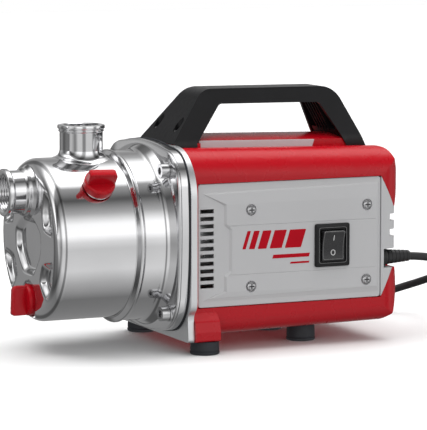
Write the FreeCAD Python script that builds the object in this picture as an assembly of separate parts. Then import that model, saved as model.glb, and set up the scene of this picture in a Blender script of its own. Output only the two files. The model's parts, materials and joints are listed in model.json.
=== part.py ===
"""Shallow well jet pump: a stainless jet-pump head on an enclosed electric motor.

Every piece is built with X measured from the casing's step ring, along the shaft and towards
the motor's rear, Y across the pump and Z up from the floor. save() moves it into the row frame,
whose origin is at the bottom centre of the pump without its mains cord. Lengths are millimetres.
"""
import FreeCAD
import Part

import math
import os

V = FreeCAD.Vector

# ---------------------------------------------------------------- driving dimensions
AXIS_Z = 96.7                # height of the shaft above the floor

CASING_R = 70.0              # front drum of the pump casing
CASING_REAR_R = 73.5         # drum behind the step ring
CASING_FRONT_X = -74.0       # front wall of the casing
CASING_REAR_X = 24.0         # where the drum starts to flare
SHEET = 2.0                  # stainless sheet
FLARE_R = 79.0               # where the casing's flare meets its flange
FLANGE_X = 31.0              # front face of the casing's flange
FLANGE_SHEET = 2.5
CLAMP_X = FLANGE_X + FLANGE_SHEET
GASKET_X = 40.0
BRACKET_X = 41.2             # front face of the motor bracket
BRACKET_T = 5.6

PORT_R = 18.6                # outside of both port tubes
PORT_BORE_R = 15.15          # minor radius of a 1 inch pipe thread
PORT_RIM_R = 20.5
INLET_Z = AXIS_Z + 41.8
INLET_FRONT_X = -97.0
OUTLET_X = -22.9
OUTLET_TOP_Z = 194.4

PLUG_SHANK_R = 8.2           # 3/8 inch pipe thread of the fill and drain plugs
PLUG_BORE_R = 8.27
DRAIN_Z = 45.3
FILL_X = -30.0
FILL_ANGLE = 43.5            # degrees above horizontal, on the switch side
BOSS_R = 12.0                # welded bushes for the plugs
FILL_SEAT = CASING_R + 2.0   # the fill boss's outer face, from the shaft
DRAIN_SEAT = -4.0            # the drain boss's outer face lies in a recess behind the front wall
SEAL_T = 2.4                 # flat seal under each plug
KNOB_R = 13.5                # plug collar
POCKET_DEPTH = 5.0           # pockets pressed into the front wall

HALF_W = 72.4                # side faces of the motor cover
COVER_X = 47.2               # front edge of the motor cover
COVER_TOP = 174.8            # shoulder height at the front
COVER_BOTTOM = 14.5
COVER_FALL = 0.024           # the shoulders fall this much for each millimetre of length
COVER_RISE = 0.015           # and the cover's floor rises this much
WALL = 3.0
PANEL_FRONT_X = 53.4
PANEL_REAR_X = 228.0
PANEL_LOW_Z = 39.5
PANEL_HIGH_Z = 146.0
REAR_TIP_X = 250.4
REAR_WAIST_X = 243.5         # between the rear's two lips
PANEL_FACE = HALF_W - 1.0    # the panel's lower level; its raised field comes to HALF_W + 0.6
FIELD_FACE = HALF_W + 0.6

CHANNEL_HALF_W = 44.0        # the shallow channel between the shoulders
CHANNEL_DEPTH = 4.0
SPINE_HALF_W = 30.0          # the raised crown inside the channel, under the handle
SPINE_SIDE_Z = 180.1
SPINE_TOP_Z = 183.4
SPINE_X = (53.0, 228.0)      # ends of the crown's arched part
TRIM_X = (72.2, 183.0)       # ends of the light strips beside the crown
SHELF_Z = 177.2              # the crown's wider front part, under the handle's front foot
SHELF_HALF_W = 35.0
FOOT_LOW_Z = 171.0           # lower edge of the handle's front foot, round the shelf

SCREW_XZ = [(102.5, 122.0), (214.0, 121.6), (102.5, 56.0), (213.5, 55.8)]

SWITCH_X = 179.5             # centre of the rocker switch
SWITCH_Z = 88.0
SWITCH_W = 33.0
SWITCH_H = 37.5
BEZEL_FACE = FIELD_FACE + 2.6
ROCKER_AXIS_Y = -FIELD_FACE + 2.0
ROCKER_W = 21.0
ROCKER_H = 26.5
ROCK = 7.0                   # degrees each side of level

PAD_Z = 187.0                # top of the handle's front screw pad
REAR_PAD_DROP = 3.6          # the rear pad lies this much lower
HANDLE_SCREWS = [(57.6, -21.3), (57.6, 21.3), (217.0, -12.0), (217.0, 12.0)]

FOOT_R = 12.75
FRONT_FOOT = (60.3, 69.5)
REAR_FOOT = (168.9, 34.0)
FRONT_FOOT_H = 11.5
REAR_FOOT_H = 16.2

SHAFT_R = 6.0
MOTOR_X = 52.0               # front of the motor's frame
STATOR_R = 55.0
ROTOR_R = 27.5
STATOR_X = (78.0, 132.0)     # ends of the lamination stack
SHIELD_X = 142.0             # rear bearing shield
BOLT_Z = AXIS_Z + 60.5       # height of the upper tie bolt
FAN_X = 161.0                # cooling fan behind the shield
FAN_R = 45.0
BEARING_R = 16.0             # 6201 ball bearings
BEARING_W = 10.0
FRONT_BEARING_X = 51.0
REAR_BEARING_X = 146.0
IMPELLER_X = 10.0            # front of the impeller
IMPELLER_R = 56.0

CORD_D = 7.0
GLAND = V(233.5, -62.0, 73.0)
COIL_CENTRE = V(150.0, 146.0, 0)
COIL_R = 39.0                # middle of the turns
COIL_W = 15.0
COIL_LOW = 0.9
COIL_HIGH = 20.5
COIL_TURNS = 4.5
PLUG_TAIL = V(208.0, 185.0, 18.2)
PLUG_R = 18.0

SHIFT_X = -(INLET_FRONT_X + REAR_TIP_X) / 2
X_DIR = V(1, 0, 0)
Y_DIR = V(0, 1, 0)
Z_DIR = V(0, 0, 1)

os.makedirs("parts", exist_ok=True)


# ---------------------------------------------------------------- helpers
def save(name, *shapes):
    """Write one node, moved into the row frame, and print what it holds."""
    solids = [solid for shape in shapes for solid in shape.Solids]
    body = solids[0] if len(solids) == 1 else Part.makeCompound(solids)
    body = body.copy()
    body.translate(V(SHIFT_X, 0, 0))
    body.exportStep("parts/" + name + ".step")
    print(f"{name:22s} solids {len(solids):3d}  volume {body.Volume / 1000:8.2f} cm3  valid {body.isValid()}")


def box(x0, x1, y0, y1, z0, z1):
    return Part.makeBox(x1 - x0, y1 - y0, z1 - z0, V(x0, y0, z0))


def rod_x(radius, x0, x1, y=0.0, z=AXIS_Z):
    return Part.makeCylinder(radius, x1 - x0, V(x0, y, z), X_DIR)


def rod_y(radius, y0, y1, x, z):
    return Part.makeCylinder(radius, y1 - y0, V(x, y0, z), Y_DIR)


def rod_z(radius, z0, z1, x, y=0.0):
    return Part.makeCylinder(radius, z1 - z0, V(x, y, z0), Z_DIR)


def ring_x(outer, inner, x0, x1):
    return rod_x(outer, x0, x1).cut(rod_x(inner, x0 - 1, x1 + 1))


def turned(points, base, axis):
    """A turned solid: points are (distance along the axis, radius) round a closed profile."""
    axis = V(axis).normalize()
    side = Y_DIR if abs(axis.y) < 0.5 else Z_DIR
    out = axis.cross(side).normalize()
    wire = Part.makePolygon([base + axis * a + out * r for a, r in points + points[:1]])
    return Part.Face(wire).revolve(base, axis, 360)


def turned_x(points):
    return turned(points, V(0, 0, AXIS_Z), X_DIR)


def rounded_path(points, radii, closed=False):
    """Straight runs through the points, with a tangent arc of the given radius at each."""
    corners = []
    for i, (point, radius) in enumerate(zip(points, radii)):
        if radius == 0:
            corners.append((point, None, point))
            continue
        back = (points[i - 1] - point).normalize()
        ahead = (points[(i + 1) % len(points)] - point).normalize()
        half_turn = (math.pi - back.getAngle(ahead)) / 2
        cut = radius * math.tan(half_turn)
        inward = (back + ahead).normalize()
        middle = point + inward * (radius / math.cos(half_turn) - radius)
        corners.append((point + back * cut, middle, point + ahead * cut))
    edges = []
    for i, (start, middle, end) in enumerate(corners):
        before = corners[i - 1][2]
        if (closed or i > 0) and (start - before).Length > 1e-6:
            edges.append(Part.LineSegment(before, start).toShape())
        if middle is not None:
            edges.append(Part.Arc(start, middle, end).toShape())
    return Part.Wire(edges)


def outline_yz(x, points, radii):
    return rounded_path([V(x, y, z) for y, z in points], radii, closed=True)


def plate_x(x0, x1, points, radii):
    """A flat plate across the shaft, from an outline in Y and Z."""
    return Part.Face(outline_yz(x0, points, radii)).extrude(V(x1 - x0, 0, 0))


def hexagon_x(corner_r, x0, x1, z):
    """A hexagonal bar along X, for bolt heads and nuts."""
    angles = [math.radians(60 * i) for i in range(6)]
    corners = [(corner_r * math.cos(a), z + corner_r * math.sin(a)) for a in angles]
    return plate_x(x0, x1, corners, [0] * 6)


def plate_y(y0, y1, points, radii):
    """A flat plate along the pump's side, from an outline in X and Z."""
    path = rounded_path([V(x, y0, z) for x, z in points], radii, closed=True)
    return Part.Face(path).extrude(V(0, y1 - y0, 0))


def plate_z(z0, z1, points, radii):
    path = rounded_path([V(x, y, z0) for x, y in points], radii, closed=True)
    return Part.Face(path).extrude(V(0, 0, z1 - z0))


def mirrored(shape):
    return shape.mirror(V(0, 0, 0), Y_DIR)


def fused(shapes):
    return shapes[0].multiFuse(shapes[1:]).removeSplitter()


def around(shape, count, base, axis, start=0.0):
    """Copies of a shape spaced evenly round an axis."""
    copies = []
    for i in range(count):
        copy = shape.copy()
        copy.rotate(base, axis, start + 360.0 * i / count)
        copies.append(copy)
    return copies


SHAFT_BASE = V(0, 0, AXIS_Z)


# ---------------------------------------------------------------- flange outline and its screws
FLANGE_SCREWS = [(y, AXIS_Z + z) for y in (-62.0, 62.0) for z in (-61.0, 61.0)]


def flange_outline(grow=0.0):
    """The flange's bulged square, as Y and Z corners with their radii."""
    corners = [(0, 84.6, 260), (80, 74.5, 32), (85, 0, 400), (76, -74, 40),
               (0, -85, 260), (-76, -74, 40), (-85, 0, 400), (-80, 74.5, 32)]
    points = []
    radii = []
    for y, z, radius in corners:
        reach = math.hypot(y, z)
        points.append((y * (1 + grow / reach), AXIS_Z + z * (1 + grow / reach)))
        radii.append(radius)
    return points, radii


def flange_plate(x0, x1, bore_r, grow=0.0, hole_r=4.3):
    plate = plate_x(x0, x1, *flange_outline(grow))
    plate = plate.cut(rod_x(bore_r, x0 - 1, x1 + 1))
    for y, z in FLANGE_SCREWS:
        plate = plate.cut(rod_x(hole_r, x0 - 1, x1 + 1, y, z))
    return plate


# ---------------------------------------------------------------- pump casing
fill_dir = V(0, -math.cos(math.radians(FILL_ANGLE)), math.sin(math.radians(FILL_ANGLE)))
fill_base = V(FILL_X, 0, AXIS_Z)
drain_base = V(CASING_FRONT_X, 0, DRAIN_Z)
drain_dir = V(-1, 0, 0)


def casing_wall(offset):
    """The casing's turned outline, moved inwards by offset: front wall, round nose, drum and step ring."""
    front = CASING_FRONT_X + offset
    nose = 11.0 - offset
    points = [(front, 0)]
    for angle in (0, 15, 30, 45, 60, 75, 90):
        turn = math.radians(angle)
        points.append((front + nose * (1 - math.cos(turn)), CASING_R - offset - nose * (1 - math.sin(turn))))
    return points + [(-1.5, CASING_R - offset), (0.5, 75.0 - offset),
            (2.5, 75.0 - offset), (4.0, CASING_REAR_R - offset), (CASING_REAR_X, CASING_REAR_R - offset),
            (28.0, 75.5 - offset), (FLANGE_X + offset, FLARE_R - offset)]


# The pressed pockets of the front wall, as Y and Z corners from the shaft, with their corner radii.
MIDDLE_POCKET = [(-13, 20), (-30, 8), (-29, -10), (-12, -29), (12, -29), (29, -10), (30, 8), (13, 20)]
UPPER_POCKET = [(-37, 12), (-58, 9), (-52, 36), (-40, 48), (-33, 30)]
LOWER_POCKET = [(-34, -16), (-58, -13), (-54, -32), (-42, -47), (-27, -33)]


def front_pockets(grow):
    """The pockets' hollows, or with grow the slugs of sheet that stand behind them."""
    shapes = []
    for points in (MIDDLE_POCKET, UPPER_POCKET, LOWER_POCKET):
        middle_y = sum(y for y, z in points) / len(points)
        middle_z = sum(z for y, z in points) / len(points)
        rings = []
        for depth, scale in ((-1.0, 1.04), (POCKET_DEPTH + grow, 0.84)):
            ring = []
            for y, z in points:
                reach = math.hypot(y - middle_y, z - middle_z)
                size = scale * (1 + grow / reach)
                ring.append((middle_y + (y - middle_y) * size, AXIS_Z + middle_z + (z - middle_z) * size))
            rings.append(outline_yz(CASING_FRONT_X + depth, ring, [4.0 * scale] * len(ring)))
        pocket = Part.makeLoft(rings, True, True)
        shapes.append(pocket)
        if points is not MIDDLE_POCKET:
            shapes.append(mirrored(pocket))
    recess = 1.5 - DRAIN_SEAT + grow
    drain = Part.makeCylinder(16.5 + grow, recess, drain_base + drain_dir, drain_dir * -1)
    return shapes + [drain]


def casing_drum():
    """The casing's outside, without its flange, pockets and ports, as a full drum."""
    return turned_x(casing_wall(0) + [(CLAMP_X, FLARE_R), (CLAMP_X, 0)])


def pump_casing():
    """The drawn stainless casing: one sheet thick, with pockets pressed into its front wall."""
    inside = turned_x(casing_wall(SHEET) + [(CLAMP_X + 1, FLARE_R - SHEET), (CLAMP_X + 1, 0)])
    flange = plate_x(FLANGE_X, CLAMP_X, *flange_outline(-1.0))
    for y, z in FLANGE_SCREWS:
        flange = flange.cut(rod_x(4.3, FLANGE_X - 1, CLAMP_X + 1, y, z))
    hollows = front_pockets(0.0)
    slugs = front_pockets(SHEET)
    shell = fused([casing_drum(), flange]).cut(fused(hollows)).cut(inside.cut(fused(slugs)))
    shell = shell.cut(rod_x(PORT_R, CASING_FRONT_X - 1, CASING_FRONT_X + 4, 0, INLET_Z))
    shell = shell.cut(rod_z(PORT_R, AXIS_Z + 40, AXIS_Z + 80, OUTLET_X))
    shell = shell.cut(Part.makeCylinder(BOSS_R, 30, fill_base + fill_dir * 55, fill_dir))
    return shell.cut(Part.makeCylinder(BOSS_R, 20, drain_base - drain_dir * 16, drain_dir))


def inlet_port():
    x0 = INLET_FRONT_X
    profile = [(x0, PORT_BORE_R), (x0, PORT_RIM_R), (x0 + 4, PORT_RIM_R), (x0 + 5, PORT_R),
               (-81, PORT_R), (-79, PORT_R + 2.0), (-77, PORT_R + 2.2), (-76, PORT_R + 3.2),
               (CASING_FRONT_X, PORT_R + 4.4), (CASING_FRONT_X, PORT_R),
               (CASING_FRONT_X + SHEET + 3, PORT_R), (CASING_FRONT_X + SHEET + 3, PORT_BORE_R)]
    return turned(profile, V(0, 0, INLET_Z), X_DIR)


def outlet_port():
    low = AXIS_Z + 60.0
    profile = [(low, PORT_BORE_R), (low, PORT_R), (OUTLET_TOP_Z - 5, PORT_R),
               (OUTLET_TOP_Z - 4, PORT_RIM_R), (OUTLET_TOP_Z, PORT_RIM_R), (OUTLET_TOP_Z, PORT_BORE_R)]
    tube = turned(profile, V(OUTLET_X, 0, 0), Z_DIR)
    skirt = turned([(low, PORT_R - 1), (low, PORT_R + 7), (167.6, PORT_R + 7), (169, PORT_R + 2.5),
                    (173, PORT_R), (173, PORT_R - 1)], V(OUTLET_X, 0, 0), Z_DIR)
    return fused([tube, skirt.cut(casing_drum())])


def plug_boss(base, axis, seat, depth):
    """A welded bush: its seat is this far out, and its thread reaches depth behind the seat."""
    boss = Part.makeCylinder(BOSS_R, depth, base + axis * (seat - depth), axis)
    return boss.cut(Part.makeCylinder(PLUG_BORE_R, depth + 2, base + axis * (seat - depth - 1), axis))


# ---------------------------------------------------------------- fill and drain plugs


def plug_seal(base, axis, seat):
    return turned([(0, PLUG_SHANK_R + 0.25), (0, 11.2), (SEAL_T, 11.2), (SEAL_T, PLUG_SHANK_R + 0.25)],
                  base + axis * (seat + 0.03), axis)


def wing_plug(base, axis, seat, wing_dir, thread):
    """A hand plug: threaded shank, round collar and a flat wing to turn it by."""
    face = seat + SEAL_T + 0.06
    body = turned([(face - SEAL_T - thread, 0), (face - SEAL_T - thread, PLUG_SHANK_R - 1),
                   (face - SEAL_T - thread + 1, PLUG_SHANK_R), (face, PLUG_SHANK_R), (face, KNOB_R - 1),
                   (face + 1, KNOB_R), (face + 3.2, KNOB_R), (face + 4.2, KNOB_R - 1.2), (face + 4.2, 0)],
                  base, axis)
    across = axis.cross(wing_dir).normalize()
    foot = base + axis * (face + 3.8)
    half = KNOB_R - 0.4
    tall = 13.5
    points = [foot - wing_dir * half, foot - wing_dir * (half - 1.0) + axis * tall,
              foot + wing_dir * (half - 1.0) + axis * tall, foot + wing_dir * half]
    path = rounded_path([p - across * 4.0 for p in points], [0, 4.0, 4.0, 0], closed=True)
    wing = Part.Face(path).extrude(across * 8.0)
    return fused([body, wing])


# ---------------------------------------------------------------- hydraulic parts inside the casing


def suction_elbow():
    """The moulded elbow from the inlet down to the ejector's chamber on the axis."""
    x0 = CASING_FRONT_X + SHEET + 3.2
    turn_x = -42.0
    outside = fused([rod_x(17.0, x0, turn_x, 0, INLET_Z), rod_z(15.0, AXIS_Z, INLET_Z, turn_x - 2),
                     rod_x(17.0, -62, -26), rod_x(17.0, turn_x - 6, turn_x + 12, 0, INLET_Z)])
    inside = fused([rod_x(14.0, x0 - 1, turn_x + 8, 0, INLET_Z), rod_z(12.0, AXIS_Z, INLET_Z, turn_x - 2),
                    rod_x(13.5, -58, -25)])
    return outside.cut(inside).cut(rod_x(8.0, -63, -57))


def jet_nozzle():
    return turned_x([(-66, 3.5), (-66, 10), (-62.3, 10), (-62.3, 7.8), (-57, 7.8), (-38, 4.6), (-38, 2.6)])


def venturi_tube():
    return turned_x([(-25.8, 6.5), (-25.8, 17), (-20, 17), (-20, 9.0), (2, 15.0), (6, 15.0), (6, 12.5)])


def diffuser():
    cover = turned_x([(2.5, 15.2), (2.5, 60), (6.5, 63), (24.5, 63), (24.5, 60.5), (8, 60.5), (6, 58),
                      (6, 15.2)])
    vane = box(12, 24, -1.2, 1.2, AXIS_Z + 58.5, AXIS_Z + 61.5)
    return fused([cover] + around(vane, 9, SHAFT_BASE, X_DIR))


def impeller():
    front = turned_x([(IMPELLER_X, 13.0), (IMPELLER_X, 17), (IMPELLER_X + 1.6, IMPELLER_R),
                      (IMPELLER_X + 3, IMPELLER_R), (IMPELLER_X + 1.8, 15.6), (IMPELLER_X + 1.8, 13.0)])
    back = turned_x([(IMPELLER_X + 8, SHAFT_R), (IMPELLER_X + 8, IMPELLER_R), (IMPELLER_X + 9.8, IMPELLER_R),
                     (IMPELLER_X + 9.8, 12), (IMPELLER_X + 13, 12), (IMPELLER_X + 13, SHAFT_R)])
    vane = plate_x(IMPELLER_X + 1.2, IMPELLER_X + 8.5,
                   [(-1, AXIS_Z + 17), (1, AXIS_Z + 17), (17, AXIS_Z + 36), (24, AXIS_Z + 49),
                    (21.5, AXIS_Z + 50.5), (13, AXIS_Z + 37)], [0, 0, 0, 0, 0, 0])
    return fused([front, back] + around(vane, 6, SHAFT_BASE, X_DIR))


def impeller_nut():
    return hexagon_x(9.0, IMPELLER_X + 3.2, IMPELLER_X + 7.8, AXIS_Z).cut(rod_x(4.0, 0, 40))


# ---------------------------------------------------------------- flange stack and motor bracket
def back_plate():
    """The disc that closes the casing and carries the shaft seal's seat."""
    return turned_x([(26.0, 19), (26.0, 70), (CLAMP_X, 70), (CLAMP_X, 76.8), (39.7, 76.8), (39.7, 60),
                     (36, 60), (36, 15.2), (30, 15.2), (30, 19)])


def motor_bracket():
    """The die-cast bracket: the pump's flange, the front feet and the front bearing's seat."""
    top = AXIS_Z + 79.8
    half = 85.0
    outline = [(-half, top), (half, top), (half, 42), (77, 34), (79, 11.5), (-79, 11.5), (-77, 34),
               (-half, 42)]
    radii = [42, 42, 14, 8, 3, 3, 8, 14]
    plate = plate_x(BRACKET_X, BRACKET_X + BRACKET_T, outline, radii)
    hub = rod_x(22, BRACKET_X, FRONT_BEARING_X + BEARING_W + 1)
    web = ring_x(62, 56.5, BRACKET_X + BRACKET_T - 1, MOTOR_X + 5.8)
    feet = []
    for side in (-1, 1):
        x, y = FRONT_FOOT
        feet.append(box(BRACKET_X + 2, x + 8, side * y - 7, side * y + 7, 11.5, 18))
    body = fused([plate, hub, web] + feet)
    body = body.cut(rod_x(BEARING_R, FRONT_BEARING_X, FRONT_BEARING_X + BEARING_W + 2))
    body = body.cut(rod_x(SHAFT_R + 2, BRACKET_X - 1, 70))
    for y, z in FLANGE_SCREWS:
        body = body.cut(rod_x(3.4, BRACKET_X - 1, BRACKET_X + BRACKET_T + 1, y, z))
    for side in (-1, 1):
        x, y = FRONT_FOOT
        body = body.cut(rod_z(2.1, 10, 20, x, side * y))
    return body.cut(bolt_holes(BRACKET_X + 3.8, 80))


def flange_screw(y, z):
    """A socket-head cap screw through the flanges into the bracket."""
    head = rod_x(6.4, CLAMP_X - 11.6, CLAMP_X - 4.4, y, z)
    socket = plate_x(CLAMP_X - 12, CLAMP_X - 8.2,
                     [(y + 3.4 * math.cos(math.radians(a)), z + 3.4 * math.sin(math.radians(a)))
                      for a in range(0, 360, 60)], [0] * 6)
    shank = rod_x(3.4, CLAMP_X - 5, BRACKET_X + BRACKET_T - 0.6, y, z)
    return fused([head, shank]).cut(socket)


def flange_washer(y, z):
    face = FLANGE_X
    return rod_x(7.2, face - 1.8, face, y, z).cut(rod_x(3.4, face - 3, face + 1, y, z))


# ---------------------------------------------------------------- motor


def motor_frame():
    """The finned aluminium tube that holds the stator, pressed into the bracket's rim."""
    tube = ring_x(STATOR_R + 1.4, STATOR_R, MOTOR_X, SHIELD_X)
    fin = box(66, SHIELD_X - 4, -1.0, 1.0, AXIS_Z + STATOR_R + 0.5, AXIS_Z + STATOR_R + 6)
    return fused([tube] + around(fin, 24, SHAFT_BASE, X_DIR))


def stator_core():
    core = ring_x(STATOR_R, ROTOR_R + 0.5, *STATOR_X)
    slot = box(STATOR_X[0] - 1, STATOR_X[1] + 1, -2.4, 2.4, AXIS_Z + ROTOR_R + 2.5, AXIS_Z + 44)
    mouth = box(STATOR_X[0] - 1, STATOR_X[1] + 1, -1.0, 1.0, AXIS_Z + ROTOR_R, AXIS_Z + ROTOR_R + 4)
    return core.cut(fused(around(slot.fuse(mouth), 24, SHAFT_BASE, X_DIR)))


def end_winding(x0, x1):
    return turned_x([(x0, 33), (x0 + 2, 31), (x1 - 2, 31), (x1, 33), (x1, 44), (x1 - 3, 47),
                     (x0 + 3, 47), (x0, 44)])


def rotor_core():
    core = ring_x(ROTOR_R, SHAFT_R + 1, *STATOR_X)
    rings = [ring_x(ROTOR_R - 2, 14, STATOR_X[0] - 5, STATOR_X[0]),
             ring_x(ROTOR_R - 2, 14, STATOR_X[1], STATOR_X[1] + 5)]
    return fused([core] + rings)


def motor_shaft():
    """One stepped shaft: thread, impeller seat, bearings, rotor seat and fan seat."""
    return turned_x([(IMPELLER_X + 1, 0), (IMPELLER_X + 1, 4.0), (IMPELLER_X + 8, 4.0),
                     (IMPELLER_X + 8, SHAFT_R), (FRONT_BEARING_X + BEARING_W + 0.3, SHAFT_R),
                     (FRONT_BEARING_X + BEARING_W + 0.3, SHAFT_R + 1), (REAR_BEARING_X - 0.3, SHAFT_R + 1),
                     (REAR_BEARING_X - 0.3, SHAFT_R), (FAN_X + 14, SHAFT_R), (FAN_X + 14, 0)])


def bearing(x0):
    """A sealed ball bearing: outer race, inner race and balls as separate solids."""
    middle = x0 + BEARING_W / 2
    outer = ring_x(BEARING_R, 13.0, x0, x0 + BEARING_W)
    inner = ring_x(9.0, SHAFT_R + 0.03, x0, x0 + BEARING_W)
    shields = ring_x(12.9, 9.1, x0 + 0.4, x0 + 1.2)
    ball = Part.makeSphere(1.9, V(middle, 0, AXIS_Z + 11.0))
    return [outer, inner, shields] + around(ball, 8, SHAFT_BASE, X_DIR)


def rear_shield():
    bearing_end = REAR_BEARING_X + BEARING_W
    disc = turned_x([(SHIELD_X, 18.5), (SHIELD_X, 64), (SHIELD_X + 4, 64), (SHIELD_X + 4, 54),
                     (SHIELD_X + 8, 30), (bearing_end + 2, 21), (bearing_end + 2, SHAFT_R + 2),
                     (bearing_end, SHAFT_R + 2), (bearing_end, BEARING_R),
                     (REAR_BEARING_X - 2, BEARING_R), (REAR_BEARING_X - 2, 18.5)])
    return disc.cut(bolt_holes(SHIELD_X - 1, SHIELD_X + 9))


def wave_washer():
    return ring_x(BEARING_R - 0.4, 11.5, REAR_BEARING_X - 1.0, REAR_BEARING_X - 0.2)


def tie_bolts():
    """Four long bolts that clamp the rear shield to the bracket, outside the frame tube."""
    head = hexagon_x(3.6, SHIELD_X + 4, SHIELD_X + 7, BOLT_Z)
    bolt = fused([head, rod_x(2.0, BRACKET_X + 4, SHIELD_X + 4.5, 0, BOLT_Z)])
    return around(bolt, 4, SHAFT_BASE, X_DIR, start=52.5)


def bolt_holes(x0, x1):
    return fused(around(rod_x(2.2, x0, x1, 0, BOLT_Z), 4, SHAFT_BASE, X_DIR, start=52.5))


def cooling_fan():
    hub = ring_x(13, SHAFT_R, FAN_X, FAN_X + 12)
    disc = ring_x(FAN_R - 1, 12, FAN_X, FAN_X + 2)
    blade = box(FAN_X + 1, FAN_X + 13, -1.0, 1.0, AXIS_Z + 12, AXIS_Z + FAN_R)
    return fused([hub, disc] + around(blade, 9, SHAFT_BASE, X_DIR))


def rotary_seal():
    """The turning half of the shaft seal: carbon face, bellows and its spring cup."""
    return turned_x([(IMPELLER_X + 13.2, SHAFT_R), (IMPELLER_X + 13.2, 13.5), (26.5, 13.5), (26.5, 11.5),
                     (30.6, 11.5), (30.6, SHAFT_R + 1.2), (29, SHAFT_R + 1.2), (29, SHAFT_R)])


def seal_seat():
    return turned_x([(30.8, 15.2), (30.8, SHAFT_R + 1.5), (37, SHAFT_R + 1.5),
                     (37, 14.0), (36, 14.0), (36, 15.2)])


# ---------------------------------------------------------------- motor cover
def along_cover(points, radii, slope):
    """A section at the cover's front, carried to its rear while rising or falling."""
    length = REAR_TIP_X + 4 - COVER_X
    section = outline_yz(COVER_X, points, radii)
    return Part.Face(section).extrude(V(length, 0, slope * length))


def cover_sides(inset):
    """Upright sides with big shoulders and smaller lower edges, falling and rising to the rear."""
    top = COVER_TOP - inset
    low = COVER_BOTTOM + inset
    half = HALF_W - inset
    shoulder = 25.0 - inset
    sill = 16.0 - inset
    upper = along_cover([(-half, 0), (half, 0), (half, top), (-half, top)],
                        [0, 0, shoulder, shoulder], -COVER_FALL)
    lower = along_cover([(-half, low), (half, low), (half, 200), (-half, 200)],
                        [sill, sill, 0, 0], COVER_RISE)
    return upper.common(lower)


def channel(inset):
    """What the shallow channel between the shoulders takes out of the cover."""
    top = COVER_TOP - inset
    half = CHANNEL_HALF_W + inset
    floor = top - CHANNEL_DEPTH
    points = [(-half - 2, top + 10), (-half, top), (1 - half, floor), (half - 1, floor), (half, top),
              (half + 2, top + 10)]
    return along_cover(points, [0] * 6, -COVER_FALL)


def rear_outline(inset):
    """The cover's side view, with its two bulged lips at the rear."""
    tip = REAR_TIP_X - inset
    points = [(COVER_X - 5, 5), (COVER_X - 5, 190), (228, 190), (228, 172.5 - inset),
              (240.5 - inset, 169.0 - inset), (tip, 142.5), (REAR_WAIST_X - inset, 117),
              (REAR_WAIST_X - inset, 70), (REAR_TIP_X - 1.4 - inset, 45), (243.0 - inset, 24),
              (229, 15), (220, 5)]
    return plate_y(-90, 90, points, [0, 0, 0, 0, 7, 6, 0, 0, 9, 8, 0, 0])


def cover_block(inset=0.0):
    """The whole cover as one solid, moved inwards by inset."""
    plan = plate_z(0, 200, [(COVER_X - 1, -HALF_W + inset), (REAR_TIP_X - inset, -HALF_W + inset),
                            (REAR_TIP_X - inset, HALF_W - inset), (COVER_X - 1, HALF_W - inset)],
                   [0, 20 - inset, 20 - inset, 0])
    return cover_sides(inset).common(rear_outline(inset)).common(plan).cut(channel(inset))


def spine_block(inset=0.0):
    """The raised crown under the handle."""
    half = SPINE_HALF_W - inset
    front, rear = SPINE_X
    side_z = SPINE_SIDE_Z - inset - COVER_FALL * (front - COVER_X)
    top_z = side_z + SPINE_TOP_Z - SPINE_SIDE_Z
    arc = Part.Arc(V(front, -half, side_z), V(front, 0, top_z), V(front, half, side_z)).toShape()
    low = V(front, half, 160), V(front, -half, 160)
    ends = arc.Vertexes[1].Point, arc.Vertexes[0].Point
    wire = Part.Wire([arc, Part.LineSegment(ends[0], low[0]).toShape(),
                      Part.LineSegment(low[0], low[1]).toShape(),
                      Part.LineSegment(low[1], ends[1]).toShape()])
    return Part.Face(wire).extrude(V(rear - front, 0, -COVER_FALL * (rear - front)))


def shelf_block(inset=0.0):
    """The crown's lower and wider front part."""
    half = SHELF_HALF_W - inset
    return box(COVER_X + inset, TRIM_X[0] - 0.2, -half, half, 160, SHELF_Z - inset)


# The light panels and the rear insert fill this band between the red hood and the red tray.
def belt_outline(grow=0.0):
    front = PANEL_FRONT_X - 0.2 - grow
    return [(front, PANEL_LOW_Z - grow), (PANEL_REAR_X, PANEL_LOW_Z - grow),
            (REAR_WAIST_X - 1, 68.5 - grow), (REAR_TIP_X + 10, 69.5 - grow), (REAR_TIP_X + 10, 117.5 + grow),
            (REAR_WAIST_X - 1, 118.5 + grow), (PANEL_REAR_X, PANEL_HIGH_Z + grow),
            (front, PANEL_HIGH_Z + grow)]


def belt(grow=0.0):
    return plate_y(-100, 100, belt_outline(grow), [0] * 8)


def hollow_cover():
    """The whole cover as a shell, with a pocket in the rear corner where the mains cord leaves."""
    shell = cover_block().cut(cover_block(WALL)).cut(box(COVER_X - 5, COVER_X + 0.01, -90, 90, 0, 200))
    back, y, z = GLAND
    pocket = box(back - 4.5, 300, y - 30, y + 10.5, z - 10.5, z + 10.5).common(cover_block())
    return shell.fuse(pocket).cut(box(back - 2.5, 300, y - 30, y + 8.5, z - 8.5, z + 8.5))


def screw_tab(x, z, z_joint):
    """A tab behind the panel that takes one panel screw, standing on the hood or the tray."""
    back = -HALF_W + WALL
    tab = box(x - 7, x + 7, back + 0.2, back + 5.2, min(z - 7, z_joint), max(z + 7, z_joint))
    return tab.cut(rod_y(1.7, -HALF_W, -HALF_W + 12, x, z))


def hood():
    """The red upper cover with the crown that the handle stands on."""
    upper = hollow_cover().cut(belt(0.15)).common(box(0, 300, -100, 100, 90.1, 200))
    spine = spine_block().fuse(shelf_block()).cut(cover_block(WALL))
    inner = box(COVER_X + WALL, SPINE_X[1] - WALL, -SPINE_HALF_W + WALL, SPINE_HALF_W - WALL, 150, 172.0)
    body = fused([upper, spine]).cut(inner)
    tabs = []
    for x, z in SCREW_XZ[:2]:
        tab = screw_tab(x, z, PANEL_HIGH_Z + 8)
        tabs += [tab, mirrored(tab)]
    body = fused([body] + tabs)
    for x, y in HANDLE_SCREWS:
        body = body.cut(rod_z(2.1, 160, 200, x, y))
    return body


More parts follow.
